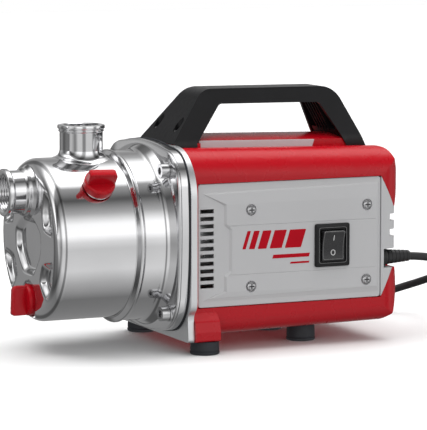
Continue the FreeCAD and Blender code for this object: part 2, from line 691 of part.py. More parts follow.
def trim_low(x):
    return COVER_TOP - CHANNEL_DEPTH - COVER_FALL * (x - COVER_X) + 0.02


def trim_high(x):
    return SPINE_SIDE_Z - COVER_FALL * (x - COVER_X) - 0.4


def top_trims():
    """Light strips set against both sides of the crown, with a rounded rear end."""
    strips = []
    front, rear = TRIM_X
    for side in (-1, 1):
        y0 = side * (SPINE_HALF_W + 0.1)
        y1 = side * (SPINE_HALF_W + 1.6)
        strip = plate_y(min(y0, y1), max(y0, y1),
                        [(front, trim_low(front)), (rear - 3, trim_low(rear - 3)),
                         (rear, trim_high(rear)), (front, trim_high(front))], [0, 2.5, 0, 0])
        strips.append(strip)
    return strips


def tray():
    """The red lower cover, with an ear over each front foot and a pad over each rear foot."""
    lower = hollow_cover().cut(belt(0.15)).common(box(0, 300, -100, 100, 0, 90))
    pieces = [lower]
    x, y = FRONT_FOOT
    for side in (-1, 1):
        root = side * (HALF_W - 16)
        ear = plate_x(COVER_X, 70.2, [(root, 11.6), (side * 81.5, 11.6), (side * 81.5, 20),
                                      (side * 79.5, 29), (side * 72, 36), (root, 36)],
                      [0, 2.5, 4, 3, 0, 0])
        pieces.append(ear)
    rx, ry = REAR_FOOT
    for side in (-1, 1):
        pieces.append(rod_z(FOOT_R + 1.6, REAR_FOOT_H - 0.2, 26, rx, side * ry))
    body = fused(pieces)
    for side in (-1, 1):
        body = body.cut(box(BRACKET_X, x + 8.4, side * y - 7.4, side * y + 7.4, 11, 18.4))
        body = body.cut(rod_z(2.1, 10, 30, x, side * y))
        body = body.cut(rod_z(2.05, 10, 24, rx, side * ry))
        body = body.cut(rod_z(FOOT_R + 0.4, 10, REAR_FOOT_H, rx, side * ry))
    tabs = []
    for sx, sz in SCREW_XZ[2:]:
        tab = screw_tab(sx, sz, PANEL_LOW_Z - 13)
        tabs += [tab, mirrored(tab)]
    return fused([body] + tabs)


def rear_grille():
    """The light rear insert between hood and tray, with cooling louvres."""
    insert = hollow_cover().common(belt(-0.15)).common(box(PANEL_REAR_X + 0.3, 300, -100, 100, 0, 200))
    for i in range(4):
        z = 109.0 - 13.6 * i
        side = -80 if z > 90 else GLAND.y + 14
        insert = insert.cut(box(REAR_WAIST_X - 6, 270, side, 80, z - 3.0, z + 3.0))
    return insert.cut(rod_x(6.2, PANEL_REAR_X, 270, GLAND.y, GLAND.z))


# ---------------------------------------------------------------- side panels


def side_panel(with_switch):
    """One light side panel, on the -Y side: vents, a raised field and four screw seats."""
    base = plate_y(-PANEL_FACE, -HALF_W + WALL,
                   [(PANEL_FRONT_X, PANEL_LOW_Z + 0.3), (PANEL_REAR_X - 0.2, PANEL_LOW_Z + 0.3),
                    (PANEL_REAR_X - 0.2, PANEL_HIGH_Z - 0.3), (PANEL_FRONT_X, PANEL_HIGH_Z - 0.3)],
                   [4, 2, 2, 3])
    field_points = [(58, 136.5), (79, 127), (79, 110.5), (84, 106), (84, 70), (79, 65.5), (79, 55),
                    (62, 48.5), (PANEL_REAR_X - 6, 51), (PANEL_REAR_X - 4, 138.5)]
    field = plate_y(-FIELD_FACE, -PANEL_FACE + 0.1, field_points, [0] * 10)
    edges = [e for e in field.Edges if all(abs(v.Y + FIELD_FACE) < 0.01 for v in e.Vertexes)]
    field = field.makeChamfer(1.3, edges)
    panel = fused([base, field])
    for z in (66.5, 109.0):
        panel = panel.cut(box(86, PANEL_REAR_X - 8, -FIELD_FACE - 1, -FIELD_FACE + 0.5, z - 0.35, z + 0.35))
    for i in range(11):
        z = 58.2 + 6.42 * i
        panel = panel.cut(box(55.6, 67.2, -HALF_W - 5, -HALF_W + 5, z - 1.65, z + 1.65))
    for x, z in SCREW_XZ:
        seat = rod_y(5.6, -FIELD_FACE - 0.5, -FIELD_FACE + 0.2, x, z)
        panel = panel.fuse(seat).cut(rod_y(4.4, -FIELD_FACE - 1, -FIELD_FACE + 0.6, x, z))
        panel = panel.cut(rod_y(2.2, -HALF_W - 5, -HALF_W + 5, x, z))
    if with_switch:
        panel = panel.cut(box(SWITCH_X - SWITCH_W / 2 + 2, SWITCH_X + SWITCH_W / 2 - 2, -90, -60,
                              SWITCH_Z - SWITCH_H / 2 + 2, SWITCH_Z + SWITCH_H / 2 - 2))
    return panel.removeSplitter()


def panel_screw(x, z):
    """A domed cross-recess screw through the panel into its tab."""
    seat = -FIELD_FACE + 0.6
    dome = Part.makeSphere(6.2, V(x, seat + 3.9, z)).common(rod_y(4.0, seat - 4, seat, x, z))
    shank = rod_y(1.65, seat - 0.5, -HALF_W + WALL + 5, x, z)
    cross = box(x - 2.1, x + 2.1, seat - 4, seat - 0.9, z - 0.45, z + 0.45)
    upright = box(x - 0.45, x + 0.45, seat - 4, seat - 0.9, z - 2.1, z + 2.1)
    return fused([dome, shank]).cut(cross.fuse(upright))


# ---------------------------------------------------------------- switch


def switch_frame():
    """The switch's bezel and body, with a pocket for the rocker."""
    front = SWITCH_X - SWITCH_W / 2
    rear = SWITCH_X + SWITCH_W / 2
    low = SWITCH_Z - SWITCH_H / 2
    high = SWITCH_Z + SWITCH_H / 2
    bezel = plate_y(-BEZEL_FACE, -FIELD_FACE, [(front, low), (rear, low), (rear, high), (front, high)],
                    [2, 2, 2, 2])
    edges = [e for e in bezel.Edges if all(abs(v.Y + BEZEL_FACE) < 0.01 for v in e.Vertexes)]
    bezel = bezel.makeChamfer(0.9, edges)
    body = box(SWITCH_X - 13.5, SWITCH_X + 13.5, -FIELD_FACE - 0.5, -51.5, SWITCH_Z - 16, SWITCH_Z + 16)
    pocket = box(SWITCH_X - ROCKER_W / 2 - 0.5, SWITCH_X + ROCKER_W / 2 + 0.5, -90, -61,
                 SWITCH_Z - ROCKER_H / 2 - 0.6, SWITCH_Z + ROCKER_H / 2 + 0.6)
    frame = fused([bezel, body]).cut(pocket)
    pins = [rod_x(1.6, SWITCH_X - ROCKER_W / 2 - 0.6, SWITCH_X - ROCKER_W / 2 + 1.4, ROCKER_AXIS_Y, SWITCH_Z),
            rod_x(1.6, SWITCH_X + ROCKER_W / 2 - 1.4, SWITCH_X + ROCKER_W / 2 + 0.6, ROCKER_AXIS_Y, SWITCH_Z)]
    return fused([frame] + pins)


def switch_rocker():
    """The rocker, pressed at its lower end: it turns on two short pins."""
    half = ROCKER_H / 2
    front = -BEZEL_FACE - 2.6
    middle = -BEZEL_FACE + 0.6
    back = -64.5
    points = [(front, -half), (middle, 0.0), (front, half), (back - 2, half), (back, 0), (back - 2, -half)]
    wire = rounded_path([V(SWITCH_X - ROCKER_W / 2, y, SWITCH_Z + z) for y, z in points],
                        [1.2, 40.0, 1.2, 0, 0, 0], closed=True)
    rocker = Part.Face(wire).extrude(V(ROCKER_W, 0, 0))
    for side in (-1, 1):
        end = SWITCH_X + side * ROCKER_W / 2
        rocker = rocker.cut(rod_x(1.66, end - 1.8, end + 1.8, ROCKER_AXIS_Y, SWITCH_Z))
    rocker.rotate(V(SWITCH_X, ROCKER_AXIS_Y, SWITCH_Z), X_DIR, ROCK)
    return rocker


# ---------------------------------------------------------------- handle
HANDLE_OUTER = [(45.3, SHELF_Z), (81.2, 222.8), (209.2, 221.6), (233.9, 168.3)]
HANDLE_INNER = [(215.1, 169.0), (192.6, 208.3), (95.4, 209.6), (68.6, SHELF_Z)]


def handle_taper(inset):
    """The handle's width: wide at its feet, narrow at the grip, and a little narrower to the rear."""
    def section(x):
        foot_half = 38.2 - 0.0285 * x - inset
        grip_half = 18.9 - 0.022 * x - inset
        top = 224.0 - inset
        points = [(-foot_half, 150), (foot_half, 150), (foot_half, 177), (grip_half, top), (-grip_half, top),
                  (-foot_half, 177)]
        return outline_yz(x, points, [0, 0, 20, 5, 5, 20])
    return Part.makeLoft([section(30), section(250)], True, True)


def handle():
    """A moulded channel handle, open towards the finger gap, with ribs along its legs."""
    side_view = HANDLE_OUTER + HANDLE_INNER + [(68.6, FOOT_LOW_Z), (47.5, FOOT_LOW_Z), (47.5, SHELF_Z)]
    body = plate_y(-50, 50, side_view, [0, 19, 20, 0, 0, 5, 5, 0, 0, 0, 0]).common(handle_taper(0))
    hollow_view = [(43.7, 170), (82.3, 219), (207.4, 217.8), (231.9, 165), (206, 160), (191.6, 203.5),
                   (96.5, 204.8), (74.5, 170)]
    hollow = plate_y(-50, 50, hollow_view, [0, 15, 16, 0, 0, 5, 5, 0]).common(handle_taper(3.0))
    ribs = [box(99 + 10 * i, 101 + 10 * i, -50, 50, 200, 230) for i in range(10)]
    for i in range(5):
        y = -11.0 + 5.5 * i
        ribs.append(box(193, 240, y - 0.5, y + 0.5, 182, 230))
        ribs.append(box(45, 94, y - 0.5, y + 0.5, 186, 230))
    hollow = hollow.cut(fused(ribs))
    front_pad = plate_y(-28.5, 28.5, [(47.4, SHELF_Z), (55.0, PAD_Z), (76.0, PAD_Z), (68.6, SHELF_Z)],
                        [0] * 4)
    rear_z = PAD_Z - REAR_PAD_DROP
    rear_pad = plate_y(-24, 24, [(213.5, 172), (207.5, rear_z), (225.5, rear_z), (230.6, 172)], [0] * 4)
    body = fused([body.cut(hollow), front_pad, rear_pad]).cut(cover_block(-0.1))
    body = body.cut(spine_block(-0.1)).cut(shelf_block(-0.05))
    body = body.cut(box(30, COVER_X - 0.2, -60, 60, 150, AXIS_Z + 80.0))
    for x, y in HANDLE_SCREWS:
        seat = handle_seat(x)
        body = body.cut(rod_z(4.8, seat, seat + 40, x, y)).cut(rod_z(2.3, 160, seat + 1, x, y))
    return body


def handle_seat(x):
    """Height of the counterbore's floor in the pad at x."""
    return PAD_Z - 2.0 if x < 100 else PAD_Z - REAR_PAD_DROP - 2.0


def handle_screw(x, y):
    """A pan-head screw down through the handle's foot into the hood's crown."""
    seat = handle_seat(x)
    head = rod_z(4.2, seat, seat + 2.8, x, y)
    recess = box(x - 2.4, x + 2.4, y - 0.5, y + 0.5, seat + 1.4, seat + 4)
    across = box(x - 0.5, x + 0.5, y - 2.4, y + 2.4, seat + 1.4, seat + 4)
    return fused([head, rod_z(2.0, seat - 14, seat + 1, x, y)]).cut(recess.fuse(across))


# ---------------------------------------------------------------- feet
def foot(x, y, height, top_r):
    return turned([(0, 5.5), (0, FOOT_R - 0.8), (0.8, FOOT_R), (height, top_r), (height, 2.4),
                   (4, 2.4), (4, 5.5)], V(x, y, 0), Z_DIR)


def foot_screw(x, y, height):
    return turned([(1.2, 0), (1.2, 4.6), (4.0, 4.6), (4.0, 2.0), (height + 5, 2.0), (height + 5, 0)],
                  V(x, y, 0), Z_DIR)


# ---------------------------------------------------------------- electrics
def capacitor():
    """The run capacitor, lying across the cover behind the fan."""
    can = rod_y(16, -10, 58, 222, 128)
    return can.fuse(rod_y(13, -13, -10, 222, 128)).removeSplitter()


def terminal_block():
    block = box(206, 228, -44, -8, 55, 71)
    for i in range(3):
        block = block.cut(rod_z(2.6, 64, 72, 217, -37 + 11 * i))
    return block


# ---------------------------------------------------------------- mains cord
CORD_POINTS = [V(246, -62, 73), V(262, -62, 72.6), V(281, -60, 70.5), V(301, -51, 65.5), V(318, -36, 59.0),
               V(331, -13, 51.5), V(337, 14, 43), V(334, 42, 33.5), V(321, 68, 23.5), V(299, 87, 13.5),
               V(272, 97, 6), V(243, 104, 3.6), V(216, 105.5, 3.6), V(189, 106.6, 3.7), V(162, 107, 4.4)]
LEAD_POINTS = [V(150, 185, 17), V(179, 185, 17.3), V(208, 185, 18.2)]


def gland():
    """The tapered strain relief round the cord, with a flange behind the pocket's wall."""
    return turned([(-7, CORD_D / 2), (-7, 7), (-4.7, 7), (-4.7, 6), (-2.3, 6), (-2.3, 8), (3, 7.6),
                   (7, 6.6), (15, 5.2), (28, 4.4), (28, CORD_D / 2)], GLAND, X_DIR)


def cord_tube(name, points):
    """A free stretch of the cord, as straight runs joined by tangent arcs."""
    radii = [0.0]
    for before, point, after in zip(points, points[1:], points[2:]):
        half_turn = (math.pi - (before - point).getAngle(after - point)) / 2
        run = min((before - point).Length, (after - point).Length)
        radii.append(0.45 * run / math.tan(half_turn))
    radii.append(0.0)
    path = rounded_path(points, radii)
    start = points[0]
    circle = Part.Wire(Part.Circle(start, (points[1] - start).normalize(), CORD_D / 2).toShape())
    tube = path.makePipeShell([circle], True, False)
    section = math.pi * CORD_D ** 2 / 4
    print(name, "radii", [round(r) for r in radii[1:-1]], "length", round(path.Length, 1),
          "volume / (section x length)", round(tube.Volume / (section * path.Length), 4))
    return tube


def cord_coil():
    """The outer shape of the tied coil of COIL_TURNS turns."""
    print("cord in the coil", round(COIL_TURNS * 2 * math.pi * COIL_R))
    inner = COIL_R - COIL_W / 2
    outer = COIL_R + COIL_W / 2
    edge = 3
    return turned([(COIL_LOW, inner + edge), (COIL_LOW + edge, inner), (COIL_HIGH - edge, inner),
                   (COIL_HIGH, inner + edge), (COIL_HIGH, outer - edge), (COIL_HIGH - edge, outer),
                   (COIL_LOW + edge, outer), (COIL_LOW, outer - edge)], COIL_CENTRE, Z_DIR)


def cord_tie():
    """A strap round the coil's bundle of turns, on the side away from the plug."""
    x = COIL_CENTRE.x - COIL_R
    y = COIL_CENTRE.y
    half = COIL_W / 2
    top = COIL_HIGH + 1
    outside = [(x - half - 1, 0.1), (x + half + 1, 0.1), (x + half + 1, top), (x - half - 1, top)]
    inside = [(x - half - 0.1, COIL_LOW), (x + half + 0.4, COIL_LOW), (x + half + 0.4, COIL_HIGH + 0.1),
              (x - half - 0.1, COIL_HIGH + 0.1)]
    band = plate_y(y - 6, y + 6, outside, [2, 2, 3, 3])
    return band.cut(plate_y(y - 7, y + 7, inside, [1.5, 1.5, 2, 2]))


def mains_plug():
    """A straight rubber plug lying on the floor beside the coil."""
    return turned([(0, CORD_D / 2), (0, 4.6), (16, 6.2), (18, 9), (24, 10), (38, 15), (42, PLUG_R),
                   (52, PLUG_R), (53, PLUG_R - 1), (53, 0), (12, 0), (12, CORD_D / 2)], PLUG_TAIL, X_DIR)


def plug_pins():
    face = PLUG_TAIL.x + 53
    return [rod_x(2.4, face, face + 19, PLUG_TAIL.y + side * 9.5, PLUG_TAIL.z) for side in (-1, 1)]


# ---------------------------------------------------------------- write the nodes
save("pump_casing", pump_casing())
save("inlet_port", inlet_port())
save("outlet_port", outlet_port())
save("fill_boss", plug_boss(fill_base, fill_dir, FILL_SEAT, 12))
save("drain_boss", plug_boss(drain_base, drain_dir, DRAIN_SEAT, 12))
save("fill_plug_seal", plug_seal(fill_base, fill_dir, FILL_SEAT))
save("fill_plug", wing_plug(fill_base, fill_dir, FILL_SEAT, V(1, 0, 0), 11))
save("drain_plug_seal", plug_seal(drain_base, drain_dir, DRAIN_SEAT))
save("drain_plug", wing_plug(drain_base, drain_dir, DRAIN_SEAT, V(0, 0, 1), 11))
save("suction_elbow", suction_elbow())
save("jet_nozzle", jet_nozzle())
save("venturi_tube", venturi_tube())
save("diffuser", diffuser())
save("impeller", impeller())
save("impeller_nut", impeller_nut())
save("back_plate", back_plate())
save("clamp_flange", flange_plate(CLAMP_X, GASKET_X, 79.0))
save("casing_gasket", flange_plate(GASKET_X, BRACKET_X, 72.0, grow=0.8))
save("motor_bracket", motor_bracket())
save("flange_screws", *[flange_screw(y, z) for y, z in FLANGE_SCREWS])
save("flange_washers", *[flange_washer(y, z) for y, z in FLANGE_SCREWS])
save("motor_frame", motor_frame())
save("stator_core", stator_core())
save("stator_windings", end_winding(64, 77.8), end_winding(132.2, 141))
save("rotor_core", rotor_core())
save("motor_shaft", motor_shaft())
save("front_bearing", *bearing(FRONT_BEARING_X))
save("rear_bearing", *bearing(REAR_BEARING_X))
save("rear_shield", rear_shield())
save("wave_washer", wave_washer())
save("tie_bolts", *tie_bolts())
save("cooling_fan", cooling_fan())
save("rotary_seal", rotary_seal())
save("seal_seat", seal_seat())
save("hood", hood())
save("tray", tray())
save("rear_grille", rear_grille())
save("top_trims", *top_trims())
save("side_panel_right", side_panel(True))
save("side_panel_left", mirrored(side_panel(False)))
save("panel_screws_right", *[panel_screw(x, z) for x, z in SCREW_XZ])
save("panel_screws_left", *[mirrored(panel_screw(x, z)) for x, z in SCREW_XZ])
save("switch_frame", switch_frame())
save("switch_rocker", switch_rocker())
save("handle", handle())
save("handle_screws", *[handle_screw(x, y) for x, y in HANDLE_SCREWS])
feet = [(FRONT_FOOT[0], side * FRONT_FOOT[1], FRONT_FOOT_H) for side in (-1, 1)]
rear_feet = [(REAR_FOOT[0], side * REAR_FOOT[1], REAR_FOOT_H) for side in (-1, 1)]
save("front_feet", *[foot(x, y, h, FOOT_R - 0.6) for x, y, h in feet])
save("rear_feet", *[foot(x, y, h, FOOT_R - 0.6) for x, y, h in rear_feet])
save("foot_screws", *[foot_screw(x, y, h) for x, y, h in feet + rear_feet])
save("capacitor", capacitor())
save("terminal_block", terminal_block())
save("cord_gland", gland())
save("power_cord", cord_tube("power_cord", [GLAND + V(-6, 0, 0)] + CORD_POINTS))
save("cord_coil", cord_coil())
save("cord_tie", cord_tie())
save("plug_lead", cord_tube("plug_lead", LEAD_POINTS))
save("mains_plug", mains_plug())
save("plug_pins", *plug_pins())
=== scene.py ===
"""Shallow well jet pump: the looks of each piece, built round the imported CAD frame.

Pieces are laid out in millimetres, as in the part's source: x from the casing's step ring, y across
the pump, z up from the floor. at() turns such a place into metres in the row frame.
"""
import json
import math

import bmesh
import bpy
from mathutils import Matrix, Vector
from mathutils.bvhtree import BVHTree

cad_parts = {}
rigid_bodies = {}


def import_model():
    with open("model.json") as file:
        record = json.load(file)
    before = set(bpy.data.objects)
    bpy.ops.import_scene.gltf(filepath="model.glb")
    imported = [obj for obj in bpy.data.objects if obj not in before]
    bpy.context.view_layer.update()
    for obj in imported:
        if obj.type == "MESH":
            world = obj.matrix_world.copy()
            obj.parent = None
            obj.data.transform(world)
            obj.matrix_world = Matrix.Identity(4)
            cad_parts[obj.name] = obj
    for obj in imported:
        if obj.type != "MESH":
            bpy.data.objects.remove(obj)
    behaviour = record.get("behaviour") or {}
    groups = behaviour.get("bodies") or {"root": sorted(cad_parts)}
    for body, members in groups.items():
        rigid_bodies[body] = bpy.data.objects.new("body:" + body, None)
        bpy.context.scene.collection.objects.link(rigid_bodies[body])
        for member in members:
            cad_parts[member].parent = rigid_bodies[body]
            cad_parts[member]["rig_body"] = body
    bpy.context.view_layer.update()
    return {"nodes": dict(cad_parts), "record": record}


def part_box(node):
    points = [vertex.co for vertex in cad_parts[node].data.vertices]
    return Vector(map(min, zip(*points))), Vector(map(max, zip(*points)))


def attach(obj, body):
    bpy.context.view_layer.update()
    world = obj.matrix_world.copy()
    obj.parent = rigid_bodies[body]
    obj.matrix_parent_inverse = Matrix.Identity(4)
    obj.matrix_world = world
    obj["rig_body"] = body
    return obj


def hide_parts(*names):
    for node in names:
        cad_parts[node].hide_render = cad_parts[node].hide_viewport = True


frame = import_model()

MM = 0.001
FRONT_WALL_X = -74.0                                        # the casing's front wall, from the step ring
STEP_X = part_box("pump_casing")[0][0] - FRONT_WALL_X * MM    # the step ring in the row frame
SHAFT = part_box("motor_shaft")
AXIS_Z = (SHAFT[0][2] + SHAFT[1][2]) / 2 / MM

X_DIR = Vector((1, 0, 0))
Y_DIR = Vector((0, 1, 0))
Z_DIR = Vector((0, 0, 1))
FILL_RISE = math.radians(43.5)                              # the fill plug points this far above level
FILL_DIR = Vector((0, -math.cos(FILL_RISE), math.sin(FILL_RISE)))


def at(x, y, z):
    return Vector((STEP_X + x * MM, y * MM, z * MM))


def middle(node):
    """The middle of a CAD node's box, in millimetres from the step ring."""
    low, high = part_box(node)
    centre = [(a + b) / 2 for a, b in zip(low, high)]
    return Vector(((centre[0] - STEP_X) / MM, centre[1] / MM, centre[2] / MM))


def span(node, axis):
    """Where a CAD node's box starts along an axis, in millimetres from the step ring, and how long it is."""
    low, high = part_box(node)
    origin = STEP_X if axis == 0 else 0.0
    return (low[axis] - origin) / MM, (high[axis] - low[axis]) / MM


def surface_of(node):
    """A CAD node's surface, for rays."""
    mesh = frame["nodes"][node].data
    return BVHTree.FromPolygons([v.co for v in mesh.vertices], [face.vertices for face in mesh.polygons])


# ---------------------------------------------------------------- camera, floor and light
LENS = 235.63
CAMERA_AT = at(-911.5, -2238.7, 397.6)
CAMERA_TARGET = at(100, 0, 110)


def aim(obj, target):
    obj.rotation_euler = (Vector(target) - obj.location).to_track_quat("-Z", "Y").to_euler()


def add_camera():
    data = bpy.data.cameras.new("camera")
    data.sensor_width = 36.0
    data.lens = LENS
    data.clip_end = 50.0
    camera = bpy.data.objects.new("camera", data)
    camera.location = CAMERA_AT
    bpy.context.scene.collection.objects.link(camera)
    aim(camera, CAMERA_TARGET)
    bpy.context.scene.camera = camera


def link_light(name, data):
    light = bpy.data.objects.new(name, data)
    light.visible_glossy = False
    bpy.context.scene.collection.objects.link(light)
    return light


def add_light(name, location, target, width, height, watts):
    data = bpy.data.lights.new(name, "AREA")
    data.shape = "RECTANGLE"
    data.size = width
    data.size_y = height
    data.energy = watts
    light = link_light(name, data)
    light.location = location
    aim(light, target)


def add_sun(strength):
    """A wide soft light from straight above, which keeps the floor evenly white."""
    data = bpy.data.lights.new("overhead", "SUN")
    data.energy = strength
    data.angle = math.radians(70)
    aim(link_light("overhead", data), (0, 0, -1))


# How bright the studio is in each direction round the pump's length, in degrees above straight ahead.
STUDIO_BANDS = [(-180, 0.3), (-90, 0.2), (-60, 0.5), (-40, 0.8), (-10, 0.7), (0, 0.9), (10, 1.4), (25, 1.3),
                (40, 0.5), (60, 0.1), (80, 0.4), (90, 2.2), (110, 2.2), (135, 0.5), (150, 0.3), (180, 0.5)]
# How much of that is left by how far a direction leans along the pump: -1 is the inlet's side, 1 the motor's.
STUDIO_GAPS = [(-1.0, 0.9), (-0.8, 0.3), (-0.6, 1.0), (-0.3, 1.0), (-0.2, 0.4), (0.0, 0.4), (0.1, 1.0),
               (0.6, 1.0), (0.7, 0.3), (0.8, 0.3), (0.9, 1.0), (1.0, 1.0)]


def add_ramp(nodes, links, value, stops, low, high):
    """A grey tone for each value between low and high."""
    remap = nodes.new("ShaderNodeMapRange")
    remap.inputs["From Min"].default_value = low
    remap.inputs["From Max"].default_value = high
    links.new(value, remap.inputs["Value"])
    ramp = nodes.new("ShaderNodeValToRGB")
    for i, (place, tone) in enumerate(stops):
        share = (place - low) / (high - low)
        spot = ramp.color_ramp.elements[i] if i < 2 else ramp.color_ramp.elements.new(share)
        spot.position = share
        spot.color = (tone, tone, tone, 1)
    links.new(remap.outputs["Result"], ramp.inputs["Fac"])
    return ramp.outputs["Color"]


def add_world():
    """A studio seen in the polished metal: bright walls with darker gaps between them.

    The tone depends on the direction's turn about the pump's length, from straight ahead of the
    switch side, over the top, to behind, and on its lean. The backdrop is plain white."""
    world = bpy.data.worlds.new("studio")
    bpy.context.scene.world = world
    world.use_nodes = True
    nodes = world.node_tree.nodes
    links = world.node_tree.links
    nodes.clear()
    where = nodes.new("ShaderNodeTexCoord")
    split = nodes.new("ShaderNodeSeparateXYZ")
    links.new(where.outputs["Generated"], split.inputs[0])
    ahead = nodes.new("ShaderNodeMath")
    ahead.operation = "MULTIPLY"
    ahead.inputs[1].default_value = -1.0
    links.new(split.outputs["Y"], ahead.inputs[0])
    turn = nodes.new("ShaderNodeMath")
    turn.operation = "ARCTAN2"
    links.new(split.outputs["Z"], turn.inputs[0])
    links.new(ahead.outputs[0], turn.inputs[1])
    bands = [(math.radians(degrees), tone) for degrees, tone in STUDIO_BANDS]
    tone = nodes.new("ShaderNodeMath")
    tone.operation = "MULTIPLY"
    links.new(add_ramp(nodes, links, turn.outputs[0], bands, -math.pi, math.pi), tone.inputs[0])
    links.new(add_ramp(nodes, links, split.outputs["X"], STUDIO_GAPS, -1.0, 1.0), tone.inputs[1])
    studio = nodes.new("ShaderNodeBackground")
    links.new(tone.outputs[0], studio.inputs["Color"])
    white = nodes.new("ShaderNodeBackground")
    white.inputs["Color"].default_value = (1, 1, 1, 1)
    ray = nodes.new("ShaderNodeLightPath")
    mix = nodes.new("ShaderNodeMixShader")
    links.new(ray.outputs["Is Camera Ray"], mix.inputs["Fac"])
    links.new(studio.outputs[0], mix.inputs[1])
    links.new(white.outputs[0], mix.inputs[2])
    out = nodes.new("ShaderNodeOutputWorld")
    links.new(mix.outputs[0], out.inputs["Surface"])


# ---------------------------------------------------------------- materials
class Finish:
    """A procedural material: one Principled shader with noise-driven colour, roughness and bump."""

    def __init__(self, name, colour, roughness, metallic=0.0, specular=0.5):
        self.name = name
        self.material = bpy.data.materials.new(name)
        self.material.use_nodes = True
        self.nodes = self.material.node_tree.nodes
        self.links = self.material.node_tree.links
        self.shader = self.nodes["Principled BSDF"]
        self.shader.inputs["Base Color"].default_value = (*colour, 1)
        self.shader.inputs["Roughness"].default_value = roughness
        self.shader.inputs["Metallic"].default_value = metallic
        self.shader.inputs["Specular IOR Level"].default_value = specular
        self.where = self.nodes.new("ShaderNodeTexCoord").outputs["Object"]
        self.colour = colour
        self.roughness = roughness
        self.normal = None

    def noise(self, scale, detail, stretch):
        mapping = self.nodes.new("ShaderNodeMapping")
        mapping.inputs["Scale"].default_value = stretch
        self.links.new(self.where, mapping.inputs["Vector"])
        noise = self.nodes.new("ShaderNodeTexNoise")
        noise.inputs["Scale"].default_value = scale
        noise.inputs["Detail"].default_value = detail
        self.links.new(mapping.outputs["Vector"], noise.inputs["Vector"])
        return noise.outputs["Fac"]

    def vary(self, scale, amount, stretch=(1, 1, 1)):
        """The base colour gets lighter and darker by amount."""
        ramp = self.nodes.new("ShaderNodeValToRGB")
        for spot, place, gain in zip(ramp.color_ramp.elements, (0.3, 0.7), (1 - amount, 1 + amount)):
            spot.position = place
            spot.color = (*[min(1.0, c * gain) for c in self.colour], 1)
        self.links.new(self.noise(scale, 3.0, stretch), ramp.inputs["Fac"])
        self.links.new(ramp.outputs["Color"], self.shader.inputs["Base Color"])
        return self

    def rough(self, scale, amount, stretch=(1, 1, 1)):
        """The roughness goes up and down by amount."""
        remap = self.nodes.new("ShaderNodeMapRange")
        remap.inputs["From Min"].default_value = 0.3
        remap.inputs["From Max"].default_value = 0.7
        remap.inputs["To Min"].default_value = max(0.02, self.roughness - amount)
        remap.inputs["To Max"].default_value = self.roughness + amount
        self.links.new(self.noise(scale, 3.0, stretch), remap.inputs["Value"])
        self.links.new(remap.outputs["Result"], self.shader.inputs["Roughness"])
        return self

    def bump(self, scale, strength, distance, stretch=(1, 1, 1)):
        """Fine relief, distance in millimetres; calls add up."""
        bump = self.nodes.new("ShaderNodeBump")
        bump.inputs["Strength"].default_value = strength
        bump.inputs["Distance"].default_value = distance * MM
        self.links.new(self.noise(scale, 2.0, stretch), bump.inputs["Height"])
        if self.normal is not None:
            self.links.new(self.normal, bump.inputs["Normal"])
        self.normal = bump.outputs["Normal"]
        self.links.new(self.normal, self.shader.inputs["Normal"])
        return self


